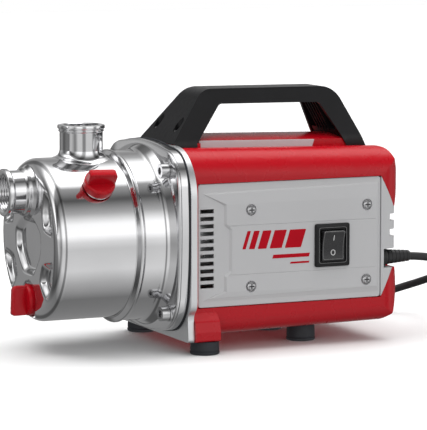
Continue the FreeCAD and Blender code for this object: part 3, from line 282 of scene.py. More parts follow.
def finishes():
    """One finish for each material slot of the record, and four more: two for printed marks, one for painted
    highlights on the switch's edges and one for painted shade in the screw recesses.
    """
    steel = Finish("polished_steel", (0.76, 0.76, 0.77), 0.09, metallic=1.0)
    steel.rough(60, 0.035, (0.4, 1, 1)).vary(25, 0.03).bump(28, 0.35, 0.16).bump(900, 0.05, 0.02)
    zinc = Finish("zinc_screws", (0.55, 0.55, 0.56), 0.2, metallic=1.0)
    zinc.rough(400, 0.08).vary(150, 0.06).bump(1500, 0.1, 0.02)
    aluminium = Finish("cast_aluminium", (0.76, 0.77, 0.78), 0.33, metallic=0.85)
    aluminium.rough(90, 0.04).vary(40, 0.02).bump(700, 0.05, 0.01)
    red = Finish("red_plastic", (0.50, 0.002, 0.010), 0.28, specular=0.32)
    red.vary(9, 0.03).rough(60, 0.03).bump(1500, 0.02, 0.004)
    grey = Finish("grey_plastic", (0.61, 0.61, 0.62), 0.5, specular=0.3)
    grey.vary(12, 0.02).rough(300, 0.05).bump(3200, 0.22, 0.04)
    black = Finish("black_plastic", (0.008, 0.008, 0.009), 0.34, specular=0.3)
    black.vary(30, 0.2).rough(260, 0.05).bump(900, 0.08, 0.02)
    gloss = Finish("black_gloss", (0.02, 0.02, 0.022), 0.26)
    gloss.vary(40, 0.15).rough(200, 0.05).bump(1800, 0.08, 0.02)
    insert = Finish("moulded_insert", (0.12, 0.12, 0.12), 0.5)
    insert.vary(60, 0.15).rough(200, 0.06).bump(1500, 0.15, 0.04)
    brass = Finish("brass", (0.72, 0.53, 0.24), 0.28, metallic=1.0)
    brass.vary(80, 0.06).rough(400, 0.06).bump(900, 0.1, 0.03)
    rubber = Finish("black_rubber", (0.022, 0.024, 0.03), 0.62)
    rubber.vary(50, 0.2).rough(200, 0.06).bump(1600, 0.25, 0.05)
    sheath = Finish("cord_rubber", (0.02, 0.02, 0.021), 0.5)
    sheath.vary(60, 0.2).rough(250, 0.06).bump(1300, 0.15, 0.04)
    nickel = Finish("nickel_pins", (0.75, 0.73, 0.68), 0.18, metallic=1.0)
    nickel.vary(90, 0.05).rough(500, 0.05).bump(1000, 0.05, 0.02)
    ground = Finish("ground_steel", (0.55, 0.55, 0.56), 0.3, metallic=1.0)
    ground.vary(90, 0.08).rough(700, 0.08, (0.1, 1, 1)).bump(900, 0.12, 0.03, (0.1, 1, 1))
    laminations = Finish("lamination_steel", (0.3, 0.3, 0.31), 0.45, metallic=0.9)
    laminations.vary(60, 0.15, (8, 1, 1)).rough(300, 0.08).bump(900, 0.5, 0.1, (6, 0.2, 0.2))
    copper = Finish("copper_windings", (0.55, 0.25, 0.12), 0.35, metallic=0.9)
    copper.vary(90, 0.2).rough(400, 0.08).bump(500, 0.6, 0.3, (4, 1, 1))
    ceramic = Finish("ceramic_seat", (0.8, 0.78, 0.72), 0.4)
    ceramic.vary(60, 0.03).rough(300, 0.06).bump(1500, 0.08, 0.02)
    red_print = Finish("red_print", (0.52, 0.003, 0.014), 0.5, specular=0.1)
    red_print.vary(80, 0.04).rough(300, 0.05)
    white_print = Finish("white_print", (0.8, 0.8, 0.8), 0.45)
    white_print.vary(200, 0.04).rough(300, 0.05)
    # painted highlight: a lighter grey laid on the bezel's inner rim and the rocker's edge, in place of light
    # catching those edges
    painted_edge_highlight = Finish("painted_edge_highlight", (0.16, 0.16, 0.16), 0.45)
    painted_edge_highlight.vary(200, 0.06).rough(300, 0.05)
    # painted shade: a near-black zinc for the cross laid in each screw recess, in place of the shadow there
    painted_shade_zinc = Finish("painted_shade_zinc", (0.06, 0.06, 0.065), 0.4, metallic=0.6)
    painted_shade_zinc.vary(150, 0.06).rough(400, 0.06).bump(1500, 0.05, 0.01)
    made = [red_print, white_print, painted_edge_highlight, painted_shade_zinc, steel, zinc, aluminium, red, grey, black, gloss,
            insert, brass, rubber, sheath, nickel, ground, laminations, copper, ceramic]
    return {finish.name: finish.material for finish in made}


# ---------------------------------------------------------------- mesh helpers
def shade(mesh, sharp_angle):
    """Smooth faces, with every edge sharper than sharp_angle left crisp."""
    bm = bmesh.new()
    bm.from_mesh(mesh)
    for face in bm.faces:
        face.smooth = True
    for edge in bm.edges:
        edge.smooth = len(edge.link_faces) != 2 or edge.calc_face_angle() < math.radians(sharp_angle)
    bm.to_mesh(mesh)
    bm.free()


def piece(name, bm, slot, body="pump", sharp=35, stands_for=(), finish=None):
    """Turns a bmesh in the row frame into a piece that rides on a body and stands for CAD nodes."""
    bmesh.ops.recalc_face_normals(bm, faces=bm.faces)
    mesh = bpy.data.meshes.new(name)
    bm.to_mesh(mesh)
    bm.free()
    shade(mesh, sharp)
    mesh.materials.clear()
    mesh.materials.append(FINISH[finish or slot])
    obj = bpy.data.objects.new(name, mesh)
    bpy.context.scene.collection.objects.link(obj)
    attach(obj, body)
    if stands_for:
        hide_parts(*stands_for)
    return obj


def rounded(points, radii, steps=5, closed=True):
    """A 2-D outline with its corners turned into arcs."""
    out = []
    count = len(points)
    for i, (point, radius) in enumerate(zip(points, radii)):
        here = Vector(point)
        if radius == 0 or (not closed and i in (0, count - 1)):
            out.append(tuple(here))
            continue
        back = (Vector(points[i - 1]) - here).normalized()
        ahead = (Vector(points[(i + 1) % count]) - here).normalized()
        half = back.angle(ahead) / 2
        reach = radius / math.tan(half)
        centre = here + (back + ahead).normalized() * (radius / math.sin(half))
        start = here + back * reach - centre
        sweep = math.pi - 2 * half
        side = 1 if back.cross(ahead) < 0 else -1
        for k in range(steps + 1):
            turn = Matrix.Rotation(side * sweep * k / steps, 2)
            out.append(tuple(centre + turn @ start))
    return out


def add_lathe(bm, profile, base, axis, steps, radius_at=None):
    """Turns a profile of (along, radius) in millimetres about an axis.

    radius_at(along, radius, turn) may change each point's radius, with turn from 0 to 1."""
    axis = axis.normalized()
    side = axis.orthogonal().normalized()
    other = axis.cross(side)
    rings = []
    for along, radius in profile:
        if radius < 1e-6:
            rings.append([bm.verts.new(base + axis * along * MM)])
            continue
        ring = []
        for k in range(steps):
            angle = 2 * math.pi * k / steps
            r = radius if radius_at is None else radius_at(along, radius, k / steps)
            out = side * math.cos(angle) + other * math.sin(angle)
            ring.append(bm.verts.new(base + axis * along * MM + out * r * MM))
        rings.append(ring)
    pairs = list(zip(rings, rings[1:]))
    if len(rings[0]) > 1 and len(rings[-1]) > 1:
        pairs.append((rings[-1], rings[0]))
    for a, b in pairs:
        for k in range(steps):
            n = (k + 1) % steps
            if len(a) == 1 and len(b) > 1:
                bm.faces.new((a[0], b[k], b[n]))
            elif len(b) == 1 and len(a) > 1:
                bm.faces.new((a[k], b[0], a[n]))
            elif len(a) > 1:
                bm.faces.new((a[k], b[k], b[n], a[n]))


def add_prism(bm, outline, place, depth):
    """Extrudes a 2-D outline: place(u, v, d) gives the point at depth d."""
    low = [bm.verts.new(place(u, v, 0)) for u, v in outline]
    high = [bm.verts.new(place(u, v, depth)) for u, v in outline]
    bm.faces.new(low)
    bm.faces.new(reversed(high))
    for k in range(len(outline)):
        n = (k + 1) % len(outline)
        bm.faces.new((low[k], high[k], high[n], low[n]))


def add_box(bm, x0, x1, y0, y1, z0, z1):
    """A box in millimetres from the step ring."""
    add_prism(bm, [(x0, z0), (x1, z0), (x1, z1), (x0, z1)], lambda u, v, d: at(u, y0 + d, v), y1 - y0)


def add_rings(bm, rings, closed=False):
    """Joins rings of points, in the row frame, into one surface; an open stack gets flat ends."""
    loops = [[bm.verts.new(point) for point in ring] for ring in rings]
    pairs = list(zip(loops, loops[1:]))
    if closed:
        pairs.append((loops[-1], loops[0]))
    else:
        bm.faces.new(loops[0])
        bm.faces.new(loops[-1])
    for a, b in pairs:
        for k in range(len(a)):
            n = (k + 1) % len(a)
            bm.faces.new((a[k], b[k], b[n], a[n]))


def soften(bm, width, segments=3, angle=30):
    """Rounds every edge sharper than angle, width in millimetres."""
    edges = [e for e in bm.edges if len(e.link_faces) == 2 and e.calc_face_angle() > math.radians(angle)]
    bmesh.ops.bevel(bm, geom=edges, offset=width * MM, segments=segments, profile=0.5, affect="EDGES",
                    clamp_overlap=True)


def weighted(obj):
    """Large faces keep their flat shading, and their rounded edges blend into them."""
    modifier = obj.modifiers.new("normals", "WEIGHTED_NORMAL")
    modifier.keep_sharp = True


def carve(obj, cutter_mesh, operation="DIFFERENCE"):
    """Cuts a bmesh out of a piece for good, or joins it with UNION."""
    mesh = bpy.data.meshes.new("cutter")
    bmesh.ops.recalc_face_normals(cutter_mesh, faces=cutter_mesh.faces)
    cutter_mesh.to_mesh(mesh)
    cutter_mesh.free()
    cutter = bpy.data.objects.new("cutter", mesh)
    bpy.context.scene.collection.objects.link(cutter)
    modifier = obj.modifiers.new("cut", "BOOLEAN")
    modifier.object = cutter
    modifier.operation = operation
    modifier.solver = "EXACT"
    bpy.context.view_layer.update()
    graph = bpy.context.evaluated_depsgraph_get()
    result = bpy.data.meshes.new_from_object(obj.evaluated_get(graph))
    obj.modifiers.clear()
    obj.data = result
    bpy.data.objects.remove(cutter)


FLAT_ANGLE = 0.6             # facets that meet flatter than this, in degrees, become one face
SAME_PLACE = 2e-6            # corners nearer than this, in metres, become one


def refined(node, slot, width, segments=2):
    """A copy of a CAD node's mesh with its coplanar facets joined and its edges rounded."""
    bm = bmesh.new()
    bm.from_mesh(frame["nodes"][node].data)
    bmesh.ops.remove_doubles(bm, verts=bm.verts, dist=SAME_PLACE)
    bmesh.ops.dissolve_limit(bm, angle_limit=math.radians(FLAT_ANGLE), verts=bm.verts, edges=bm.edges)
    soften(bm, width, segments)
    obj = piece(node + "_skin", bm, slot, body=frame["nodes"][node]["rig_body"], stands_for=(node,))
    weighted(obj)
    return obj


for plain in list(bpy.data.materials):
    bpy.data.materials.remove(plain)
FINISH = finishes()
for part in frame["record"]["subparts"]:
    cad = frame["nodes"][part["node"]]
    cad.data.materials.clear()
    cad.data.materials.append(FINISH[part["material_slot"]])


# ---------------------------------------------------------------- mains cord
CORD_D = 0.007
CORD_START = at(227.5, -62, 73)
CORD_ROUTE = [(246, -62, 73), (262, -62, 72.6), (281, -60, 70.5), (301, -51, 65.5), (318, -36, 59.0),
              (331, -13, 51.5), (337, 14, 43), (334, 42, 33.5), (321, 68, 23.5), (299, 87, 13.5),
              (272, 97, 6), (243, 104, 3.6), (216, 105.5, 3.6), (189, 106.6, 3.7), (162, 107, 4.4)]
COIL_CENTRE = at(150, 146, 0)
COIL_TURNS = 4.5
COIL_STEPS = 16              # points for each turn
TOP_TURN = 4                 # the turn that lies on top of the others
COIL_ENTRY_R = 0.0395        # where the cord comes in, in metres from the coil's centre
# Each turn's radius and the height of its middle, in metres.
COIL_LAYERS = [(0.0428, 0.0042), (0.0357, 0.0043), (0.0362, 0.0112), (0.0430, 0.0114), (0.0395, 0.0172)]
LEAD_ROUTE = [(164, 185, 17.2), (179, 185, 17.3), (193, 185, 17.6), (208, 185, 18.2), (218, 185, 18.2)]


def coil_points():
    """Four and a half turns, clockwise from above: two pairs side by side, and a half turn on top."""
    points = []
    for k in range(1, int(COIL_TURNS * COIL_STEPS)):
        turn = k / COIL_STEPS
        layer = min(int(turn), TOP_TURN - 1)
        step_up = (turn - layer - 0.8) / 0.2 if turn < TOP_TURN else (turn - TOP_TURN) / 0.3
        blend = max(0.0, min(1.0, step_up))
        below, above = COIL_LAYERS[layer], COIL_LAYERS[layer + 1]
        radius, height = (a * (1 - blend) + b * blend for a, b in zip(below, above))
        radius += 0.0005 * math.sin(5.1 * turn + 0.7)
        if turn < 0.25:
            radius = COIL_ENTRY_R + (radius - COIL_ENTRY_R) * turn / 0.25
        angle = -math.pi / 2 - 2 * math.pi * turn
        points.append(COIL_CENTRE + Vector((radius * math.cos(angle), radius * math.sin(angle), height)))
    return points


def mains_cord():
    points = [CORD_START] + [at(*p) for p in CORD_ROUTE] + coil_points() + [at(*p) for p in LEAD_ROUTE]
    curve = bpy.data.curves.new("mains_cord", "CURVE")
    curve.dimensions = "3D"
    curve.bevel_depth = CORD_D / 2
    curve.bevel_resolution = 6
    curve.use_fill_caps = True
    curve.resolution_u = 8
    spline = curve.splines.new("NURBS")
    spline.points.add(len(points) - 1)
    for spot, point in zip(spline.points, points):
        spot.co = (*point, 1)
    spline.order_u = 3
    spline.use_endpoint_u = True
    curve.materials.append(FINISH["cord_rubber"])
    cord = bpy.data.objects.new("mains_cord", curve)
    bpy.context.scene.collection.objects.link(cord)
    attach(cord, "pump")
    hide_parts("power_cord", "cord_coil", "plug_lead")


# ---------------------------------------------------------------- stainless casing and its ports
CASING_R = 70.0
REAR_R = 73.5
NOSE_R = 11.0
SHEET = 2.0
FLARE_R = 79.0
FLANGE_X = 31.0
CLAMP_X = 33.5
NECK_R = 18.6                # outside of both necks
NECK_BORE_R = 17.2           # the holes they stand in
PLUG_BORE_R = 10.5           # the holes behind the two hand plugs
PORT_BORE_R = 15.15
THREAD_PITCH = 2.31          # eleven threads to the inch
THREAD_DEPTH = 1.2
POCKET_DEPTH = 5.0
POCKET_SOFTNESS = 0.6        # higher makes a pocket's corners tighter
# The front wall's pockets, as y and z corners from the shaft.
MIDDLE_POCKET = [(-13, 20), (-30, 8), (-29, -10), (-12, -29), (12, -29), (29, -10), (30, 8), (13, 20)]
UPPER_POCKET = [(-37, 12), (-58, 9), (-52, 36), (-40, 48), (-33, 30)]
LOWER_POCKET = [(-34, -16), (-58, -13), (-54, -32), (-42, -47), (-27, -33)]


def casing_profile():
    """The casing's outline along the shaft: outside from the front wall to the flare, then back inside."""
    outside = [(FRONT_WALL_X, 0), (FRONT_WALL_X, CASING_R), (-1.8, CASING_R), (0.4, 75.0), (2.6, 75.0),
               (4.4, REAR_R), (24.0, REAR_R), (FLANGE_X + 0.6, FLARE_R), (CLAMP_X, FLARE_R)]
    radii = [0, NOSE_R, 1.6, 1.6, 1.6, 1.6, 9.0, 0, 0]
    outer = rounded(outside, radii, steps=14, closed=False)
    wall = [(FRONT_WALL_X, float(radius)) for radius in range(int(CASING_R - NOSE_R))]
    behind = FRONT_WALL_X + POCKET_DEPTH + 3.0
    inside = [(CLAMP_X, FLARE_R - SHEET), (FLANGE_X - 1, FLARE_R - SHEET), (23.5, REAR_R - SHEET),
              (-0.5, REAR_R - SHEET), (-3.0, CASING_R - SHEET), (behind, CASING_R - SHEET), (behind, 0)]
    return wall + outer[1:] + inside


def smooth(share):
    """From 0 to 1 with a gentle start and end."""
    share = min(1.0, max(0.0, share))
    return share * share * (3 - 2 * share)


def pressed_in(y, z, drain_z):
    """How deep the front wall is pressed in, at a place measured from the shaft."""
    deepest = 4.7 * smooth((17.0 - math.hypot(y, z - drain_z)) / 2.5)
    for points, across in ((MIDDLE_POCKET, y), (UPPER_POCKET, -abs(y)), (LOWER_POCKET, -abs(y))):
        middle_y = sum(corner[0] for corner in points) / len(points)
        middle_z = sum(corner[1] for corner in points) / len(points)
        total = 0.0
        for k, (y0, z0) in enumerate(points):
            y1, z1 = points[(k + 1) % len(points)]
            run = math.hypot(y1 - y0, z1 - z0)
            inward = ((y1 - y0) * (middle_z - z0) - (z1 - z0) * (middle_y - y0)) / run
            here = ((y1 - y0) * (z - z0) - (z1 - z0) * (across - y0)) / run
            total += math.exp(-POCKET_SOFTNESS * math.copysign(here, here * inward))
        inside = 1.2 - math.log(total) / POCKET_SOFTNESS
        deepest = max(deepest, POCKET_DEPTH * smooth(inside / 6.5))
    return deepest


def reach_of(node, x, turns):
    """How far a CAD node reaches from the shaft at x, looking in from outside, for each turn."""
    source = surface_of(node)
    reaches = []
    for k in range(turns):
        angle = 2 * math.pi * k / turns
        out = Vector((0, math.cos(angle), math.sin(angle)))
        place = source.ray_cast(at(x, 0, AXIS_Z) + out * 0.2, -out)[0]
        reaches.append((at(x, 0, AXIS_Z) - place).length / MM)
    return reaches


def casing():
    inlet = middle("inlet_port")
    outlet = middle("outlet_port")
    fill = middle("fill_boss")
    drain = middle("drain_boss")
    bm = bmesh.new()
    add_lathe(bm, casing_profile(), at(0, 0, AXIS_Z), X_DIR, steps=256)
    for vert in bm.verts:
        if vert.co.x < STEP_X + (FRONT_WALL_X + 7.0) * MM:
            depth = pressed_in(vert.co.y / MM, vert.co.z / MM - AXIS_Z, drain.z - AXIS_Z)
            vert.co.x += depth * MM
    shell = piece("casing_shell", bm, "polished_steel", stands_for=["pump_casing"])
    bores = bmesh.new()
    for low, high, radius, base, axis, steps in (
            (0, 20, NECK_BORE_R, at(FRONT_WALL_X - 3, 0, inlet.z), X_DIR, 64),
            (0, 30, NECK_BORE_R, at(outlet.x, 0, AXIS_Z + 50), Z_DIR, 64),
            (50, 76, PLUG_BORE_R, at(fill.x, 0, AXIS_Z), FILL_DIR, 48),
            (0, 20, PLUG_BORE_R, at(FRONT_WALL_X - 3, 0, drain.z), X_DIR, 48)):
        add_lathe(bores, [(low, 0), (low, radius), (high, radius), (high, 0)], base, axis, steps)
    carve(shell, bores)
    shade(shell.data, 30)
    weighted(shell)

    # The flange outside the flare follows the CAD outline and has a rounded front edge.
    steps = 256
    reaches = reach_of("pump_casing", FLANGE_X + 1, steps)
    profile = [(CLAMP_X, None), (CLAMP_X, -0.3), (CLAMP_X - 0.3, 0), (FLANGE_X + 0.9, 0),
               (FLANGE_X + 0.3, -0.3), (FLANGE_X, -0.9), (FLANGE_X, None)]
    rings = []
    for x, inset in profile:
        ring = []
        for k, reach in enumerate(reaches):
            angle = 2 * math.pi * k / steps
            r = FLARE_R - 1.0 if inset is None else reach + inset
            ring.append(at(x, r * math.cos(angle), AXIS_Z + r * math.sin(angle)))
        rings.append(ring)
    bm = bmesh.new()
    add_rings(bm, rings, closed=True)
    piece("casing_flange", bm, "polished_steel")


def threaded_wall(low, high):
    """A radius that follows a pipe thread's helix between two places along a port's bore."""
    def radius_at(along, radius, turn):
        if abs(radius - PORT_BORE_R) > 0.01 or not low < along < high:
            return radius
        phase = (along / THREAD_PITCH + turn) % 1.0
        return radius + THREAD_DEPTH * (1 - abs(2 * phase - 1))
    return radius_at


def bore_points(start, end):
    """Places down a threaded bore, close enough together to show its thread."""
    count = int(abs(end - start) / (THREAD_PITCH / 6))
    return [(start + (end - start) * k / count, PORT_BORE_R) for k in range(count + 1)]


def ports():
    inlet = middle("inlet_port")
    front, rear = span("inlet_port", 0)
    mouth = rounded([(0, PORT_BORE_R + 1.4), (0, 20.3), (4.2, 20.3), (5.4, NECK_R), (15.6, NECK_R),
                     (17.6, 20.6), (20.2, 20.6), (23.2, 22.9)],
                    [0.9, 1.2, 1.2, 1.2, 1.4, 2.0, 1.2, 0], steps=5, closed=False)
    profile = mouth + [(23.3, NECK_R), (rear, NECK_R)] + bore_points(rear, 0.6)
    bm = bmesh.new()
    add_lathe(bm, profile, at(front, 0, inlet.z), X_DIR, steps=112, radius_at=threaded_wall(1.2, rear - 2))
    piece("inlet_neck", bm, "polished_steel", stands_for=["inlet_port"])

    outlet = middle("outlet_port")
    foot_z, height = span("outlet_port", 2)
    top = foot_z + height
    foot = -height
    tube = rounded([(foot, NECK_R), (-6.4, NECK_R), (-5.6, 19.6), (-4.6, 19.6), (-4.0, 18.9), (-3.2, 20.5),
                    (-0.3, 20.3), (0, 18.4), (0, PORT_BORE_R + 1.0)],
                   [0, 0.6, 0.5, 0.5, 0.3, 1.0, 0.6, 0.3, 0], steps=4, closed=False)
    bm = bmesh.new()
    add_lathe(bm, tube + bore_points(-0.7, foot), at(outlet.x, 0, top), Z_DIR, steps=112,
              radius_at=threaded_wall(foot + 4, -1.2))
    piece("outlet_neck", bm, "polished_steel", stands_for=["outlet_port"])

    # The neck's foot flares onto the drum like a drawn collar.
    steps = 128
    rings = []
    for radius, lift in [(18.3, 8.0), (18.7, 5.4), (19.4, 3.4), (20.6, 1.9), (22.2, 1.0), (24.0, 0.5),
                         (25.2, 0.1), (25.2, -1.0), (18.3, -1.0)]:
        ring = []
        for k in range(steps):
            angle = 2 * math.pi * k / steps
            y = radius * math.sin(angle)
            drum = math.sqrt(CASING_R ** 2 - y ** 2)
            share = min(1.0, max(0.0, (lift - 1.0) / 6.0))
            level = drum * (1 - share) + CASING_R * share
            ring.append(at(outlet.x + radius * math.cos(angle), y, AXIS_Z + level + lift))
        rings.append(ring)
    bm = bmesh.new()
    add_rings(bm, rings, closed=True)
    piece("outlet_collar", bm, "polished_steel", sharp=50)


# ---------------------------------------------------------------- fill and drain plugs
FILL_FACE_R = 74.46          # the fill plug's collar, from the shaft
DRAIN_FACE_X = FRONT_WALL_X + 1.54


def wing_plug(name, node, body, face, axis, wing_dir):
    """A red hand plug: a round collar with a thick rounded wing standing on it.

    face is the collar's underside, in the row frame, and axis points outwards."""
    across = axis.cross(wing_dir).normalized()
    collar = rounded([(-11, 0), (-11, 7.4), (-10, 8.2), (0, 8.2), (0, 12.3), (-3.2, 12.3), (-3.2, 13.2),
                      (3.2, 13.4), (4.8, 12.0), (4.8, 0)],
                     [0, 0.3, 0.3, 0, 0, 0.2, 0.4, 0.8, 0.8, 0], steps=3, closed=False)
    bm = bmesh.new()
    add_lathe(bm, collar, face, axis, steps=72)
    foot, top, thick = 3.8, 17.2, 8.0
    outline = rounded([(-12.6, foot), (-13.0, top), (12.6, top - 1.0), (12.6, foot)],
                      [0, 2.2, 4.5, 0], steps=6)

    def place(u, v, d):
        """The wing is a fifth thinner at its top."""
        thin = 1.0 - 0.2 * (v - foot) / (top - foot)
        return face + (wing_dir * u + axis * v + across * (d - thick / 2) * thin) * MM
    wing = bmesh.new()
    add_prism(wing, outline, place, thick)
    bmesh.ops.recalc_face_normals(wing, faces=wing.faces)
    soften(wing, 1.0, 3)
    data = bpy.data.meshes.new("wing")
    wing.to_mesh(data)
    wing.free()
    bm.from_mesh(data)
    bpy.data.meshes.remove(data)
    return piece(name, bm, "red_plastic", body=body, stands_for=[node])


# ---------------------------------------------------------------- side panels
BORDER_Y = 71.4              # the panel's lower level
FIELD_Y = 73.0               # its raised field
PANEL_BACK_Y = 69.4
PANEL_SCREWS = [(102.5, 122.0), (214.0, 121.6), (102.5, 56.0), (213.5, 55.8)]
# The raised field's rim at its top edge and where it meets the lower level: x, z and y.
FIELD_TOP = [(59.5, 136.8, 72.3), (79.6, 127.6, FIELD_Y), (79.6, 110.8, FIELD_Y), (84.6, 106.2, FIELD_Y),
             (84.6, 69.8, FIELD_Y), (79.6, 65.2, FIELD_Y), (79.6, 52.4, FIELD_Y), (62.5, 47.2, 72.4),
             (224.2, 49.4, 72.8), (224.0, 127.8, FIELD_Y), (224.8, 139.6, 72.3)]
FIELD_BASE = [(57.2, 138.0), (77.6, 126.8), (77.6, 110.0), (82.6, 105.4), (82.6, 70.6), (77.6, 66.0),
              (77.6, 53.2), (57.6, 45.0), (226.0, 44.4), (226.4, 127.8), (226.2, 141.2)]
VENTS = 11
VENT_PITCH = 6.42
LOWEST_VENT_Z = 58.2
SEAT_Y = FIELD_Y - 0.6       # where a screw head's skirt meets its dish


def side_panel(name, node, side, with_switch):
    """A grey side panel: side is -1 for the switch side."""
    def spot(x, z, y):
        return at(x, side * y, z)
    bm = bmesh.new()
    outline = rounded([(53.4, 39.8), (227.8, 39.8), (227.8, 145.7), (53.4, 145.7)], [2.5, 2.5, 2.5, 2.5])
    add_prism(bm, outline, lambda u, v, d: spot(u, v, PANEL_BACK_Y + d), BORDER_Y - PANEL_BACK_Y)
    bmesh.ops.recalc_face_normals(bm, faces=bm.faces)
    soften(bm, 0.5, 3, 60)
    panel = piece(name, bm, "grey_plastic", stands_for=[node])

    field = bmesh.new()
    top = [field.verts.new(spot(x, z, y)) for x, z, y in FIELD_TOP]
    base = [field.verts.new(spot(x, z, BORDER_Y - 0.02)) for x, z in FIELD_BASE]
    under = [field.verts.new(spot(x, z, PANEL_BACK_Y + 0.6)) for x, z in FIELD_BASE]
    count = len(top)
    for upper, lower in ((top, base), (base, under)):
        for k in range(count):
            n = (k + 1) % count
            field.faces.new((upper[k], upper[n], lower[n], lower[k]))
    field.faces.new(under)
    field.faces.new([top[k] for k in (1, 2, 3, 4, 5, 6, 8, 9)])
    field.faces.new([top[k] for k in (0, 1, 9, 10)])
    field.faces.new([top[k] for k in (6, 7, 8)])
    bmesh.ops.recalc_face_normals(field, faces=field.faces)
    rim = [e for e in field.edges if e.calc_face_angle() > math.radians(1.5)
           and all(abs(v.co.y) > (BORDER_Y + 0.1) * MM for v in e.verts)]
    bmesh.ops.bevel(field, geom=rim, offset=0.45 * MM, segments=3, profile=0.5, affect="EDGES",
                    clamp_overlap=True)
    carve(panel, field, "UNION")

    cuts = bmesh.new()
    for z in (66.6, 109.0):
        groove = [(-0.45, FIELD_Y + 0.1), (0.45, FIELD_Y + 0.1), (0, FIELD_Y - 0.45)]
        ends = [[spot(x, z + dz, y) for dz, y in groove] for x in (81.0, 222.4)]
        add_rings(cuts, ends)
    for i in range(VENTS):
        z = LOWEST_VENT_Z + VENT_PITCH * i
        slit = ((55.4, -1.8), (68.2, -1.8), (68.2, 1.8), (55.4, 1.8))
        add_rings(cuts, [[spot(x, z + dz, y) for x, dz in slit] for y in (PANEL_BACK_Y - 1, BORDER_Y + 1)])
    dish = [(-8, 0), (-8, 2.2), (-0.6, 2.2), (-0.6, 4.0), (-1.9, 4.0), (-1.9, 4.8), (-0.2, 4.9), (0.6, 5.4),
            (0.6, 0)]
    for x, z in PANEL_SCREWS:
        add_lathe(cuts, dish, spot(x, z, FIELD_Y), Y_DIR * side, steps=48)
    if with_switch:
        x0, width = span("switch_frame", 0)
        z0, height = span("switch_frame", 2)
        add_box(cuts, x0 + 3, x0 + width - 3, -80, -60, z0 + 2.6, z0 + height - 2.6)
    carve(panel, cuts)
    shade(panel.data, 12)
    weighted(panel)


def screw_heads(name, node, side):
    """Pan heads with a cross recess, one in each seat of a side panel, and a dark cross on the recess's
    floor, which is painted shade standing in for the shadow in the recess.
    """
    head = rounded([(-5, 0), (-5, 1.6), (0, 1.6), (0, 3.9), (1.3, 3.9), (2.05, 2.4), (2.05, 0)],
                   [0, 0, 0, 0.2, 1.0, 1.0, 0], steps=4, closed=False)
    bm = bmesh.new()
    for x, z in PANEL_SCREWS:
        add_lathe(bm, head, at(x, side * SEAT_Y, z), Y_DIR * side, steps=48)
    heads = piece(name, bm, "zinc_screws", stands_for=[node])
    near, far = sorted((side * (SEAT_Y + 0.7), side * (SEAT_Y + 3.0)))
    for wide, tall in ((2.5, 0.55), (0.55, 2.5)):
        cross = bmesh.new()
        for x, z in PANEL_SCREWS:
            add_box(cross, x - wide, x + wide, near, far, z - tall, z + tall)
        carve(heads, cross)
    shade(heads.data, 35)
    # The dark cross below each head's recess is painted shade: a near-black piece put where the recess lies
    # in shadow.
    long, short = 2.4, 0.5
    plus = [(short, -long), (short, -short), (long, -short), (long, short), (short, short), (short, long)]
    plus += [(-u, -v) for u, v in plus]
    bm = bmesh.new()
    for x, z in PANEL_SCREWS:
        add_prism(bm, plus, lambda u, v, d: at(x + u, side * (SEAT_Y + 0.6 + d), z + v), 0.4)
    piece(name + "_painted_shade_cross", bm, "zinc_screws", finish="painted_shade_zinc")


def graphic():
    """A plain red graphic, with no lettering: slanted bars that grow, over two thin stripes."""
    bm = bmesh.new()
    height, slant, thick = 15.6, 5.0, 0.2

    def on_field(u, v, d):
        return at(u, -FIELD_Y + 0.1 - d, v)
    left = 94.0
    for width, low in ((3.2, 88.4), (5.4, 88.2), (8.2, 88.0), (11.6, 87.8), (15.4, 87.6)):
        top = low + height
        corners = [(left, low), (left + width, low), (left + width + slant, top), (left + slant, top)]
        add_prism(bm, rounded(corners, [0.6] * 4, 3), on_field, thick)
        left += width + 3.0
    for x0, x1, z0, z1 in ((122.5, 158.5, 79.0, 82.2), (139.5, 158.0, 73.6, 75.2)):
        lean = (z1 - z0) * slant / height
        add_prism(bm, [(x0, z0), (x1 - lean, z0), (x1, z1), (x0 + lean, z1)], on_field, thick)
    piece("panel_graphic", bm, "red_plastic", finish="red_print")


# ---------------------------------------------------------------- switch
SWITCH_FACE_Y = -75.6


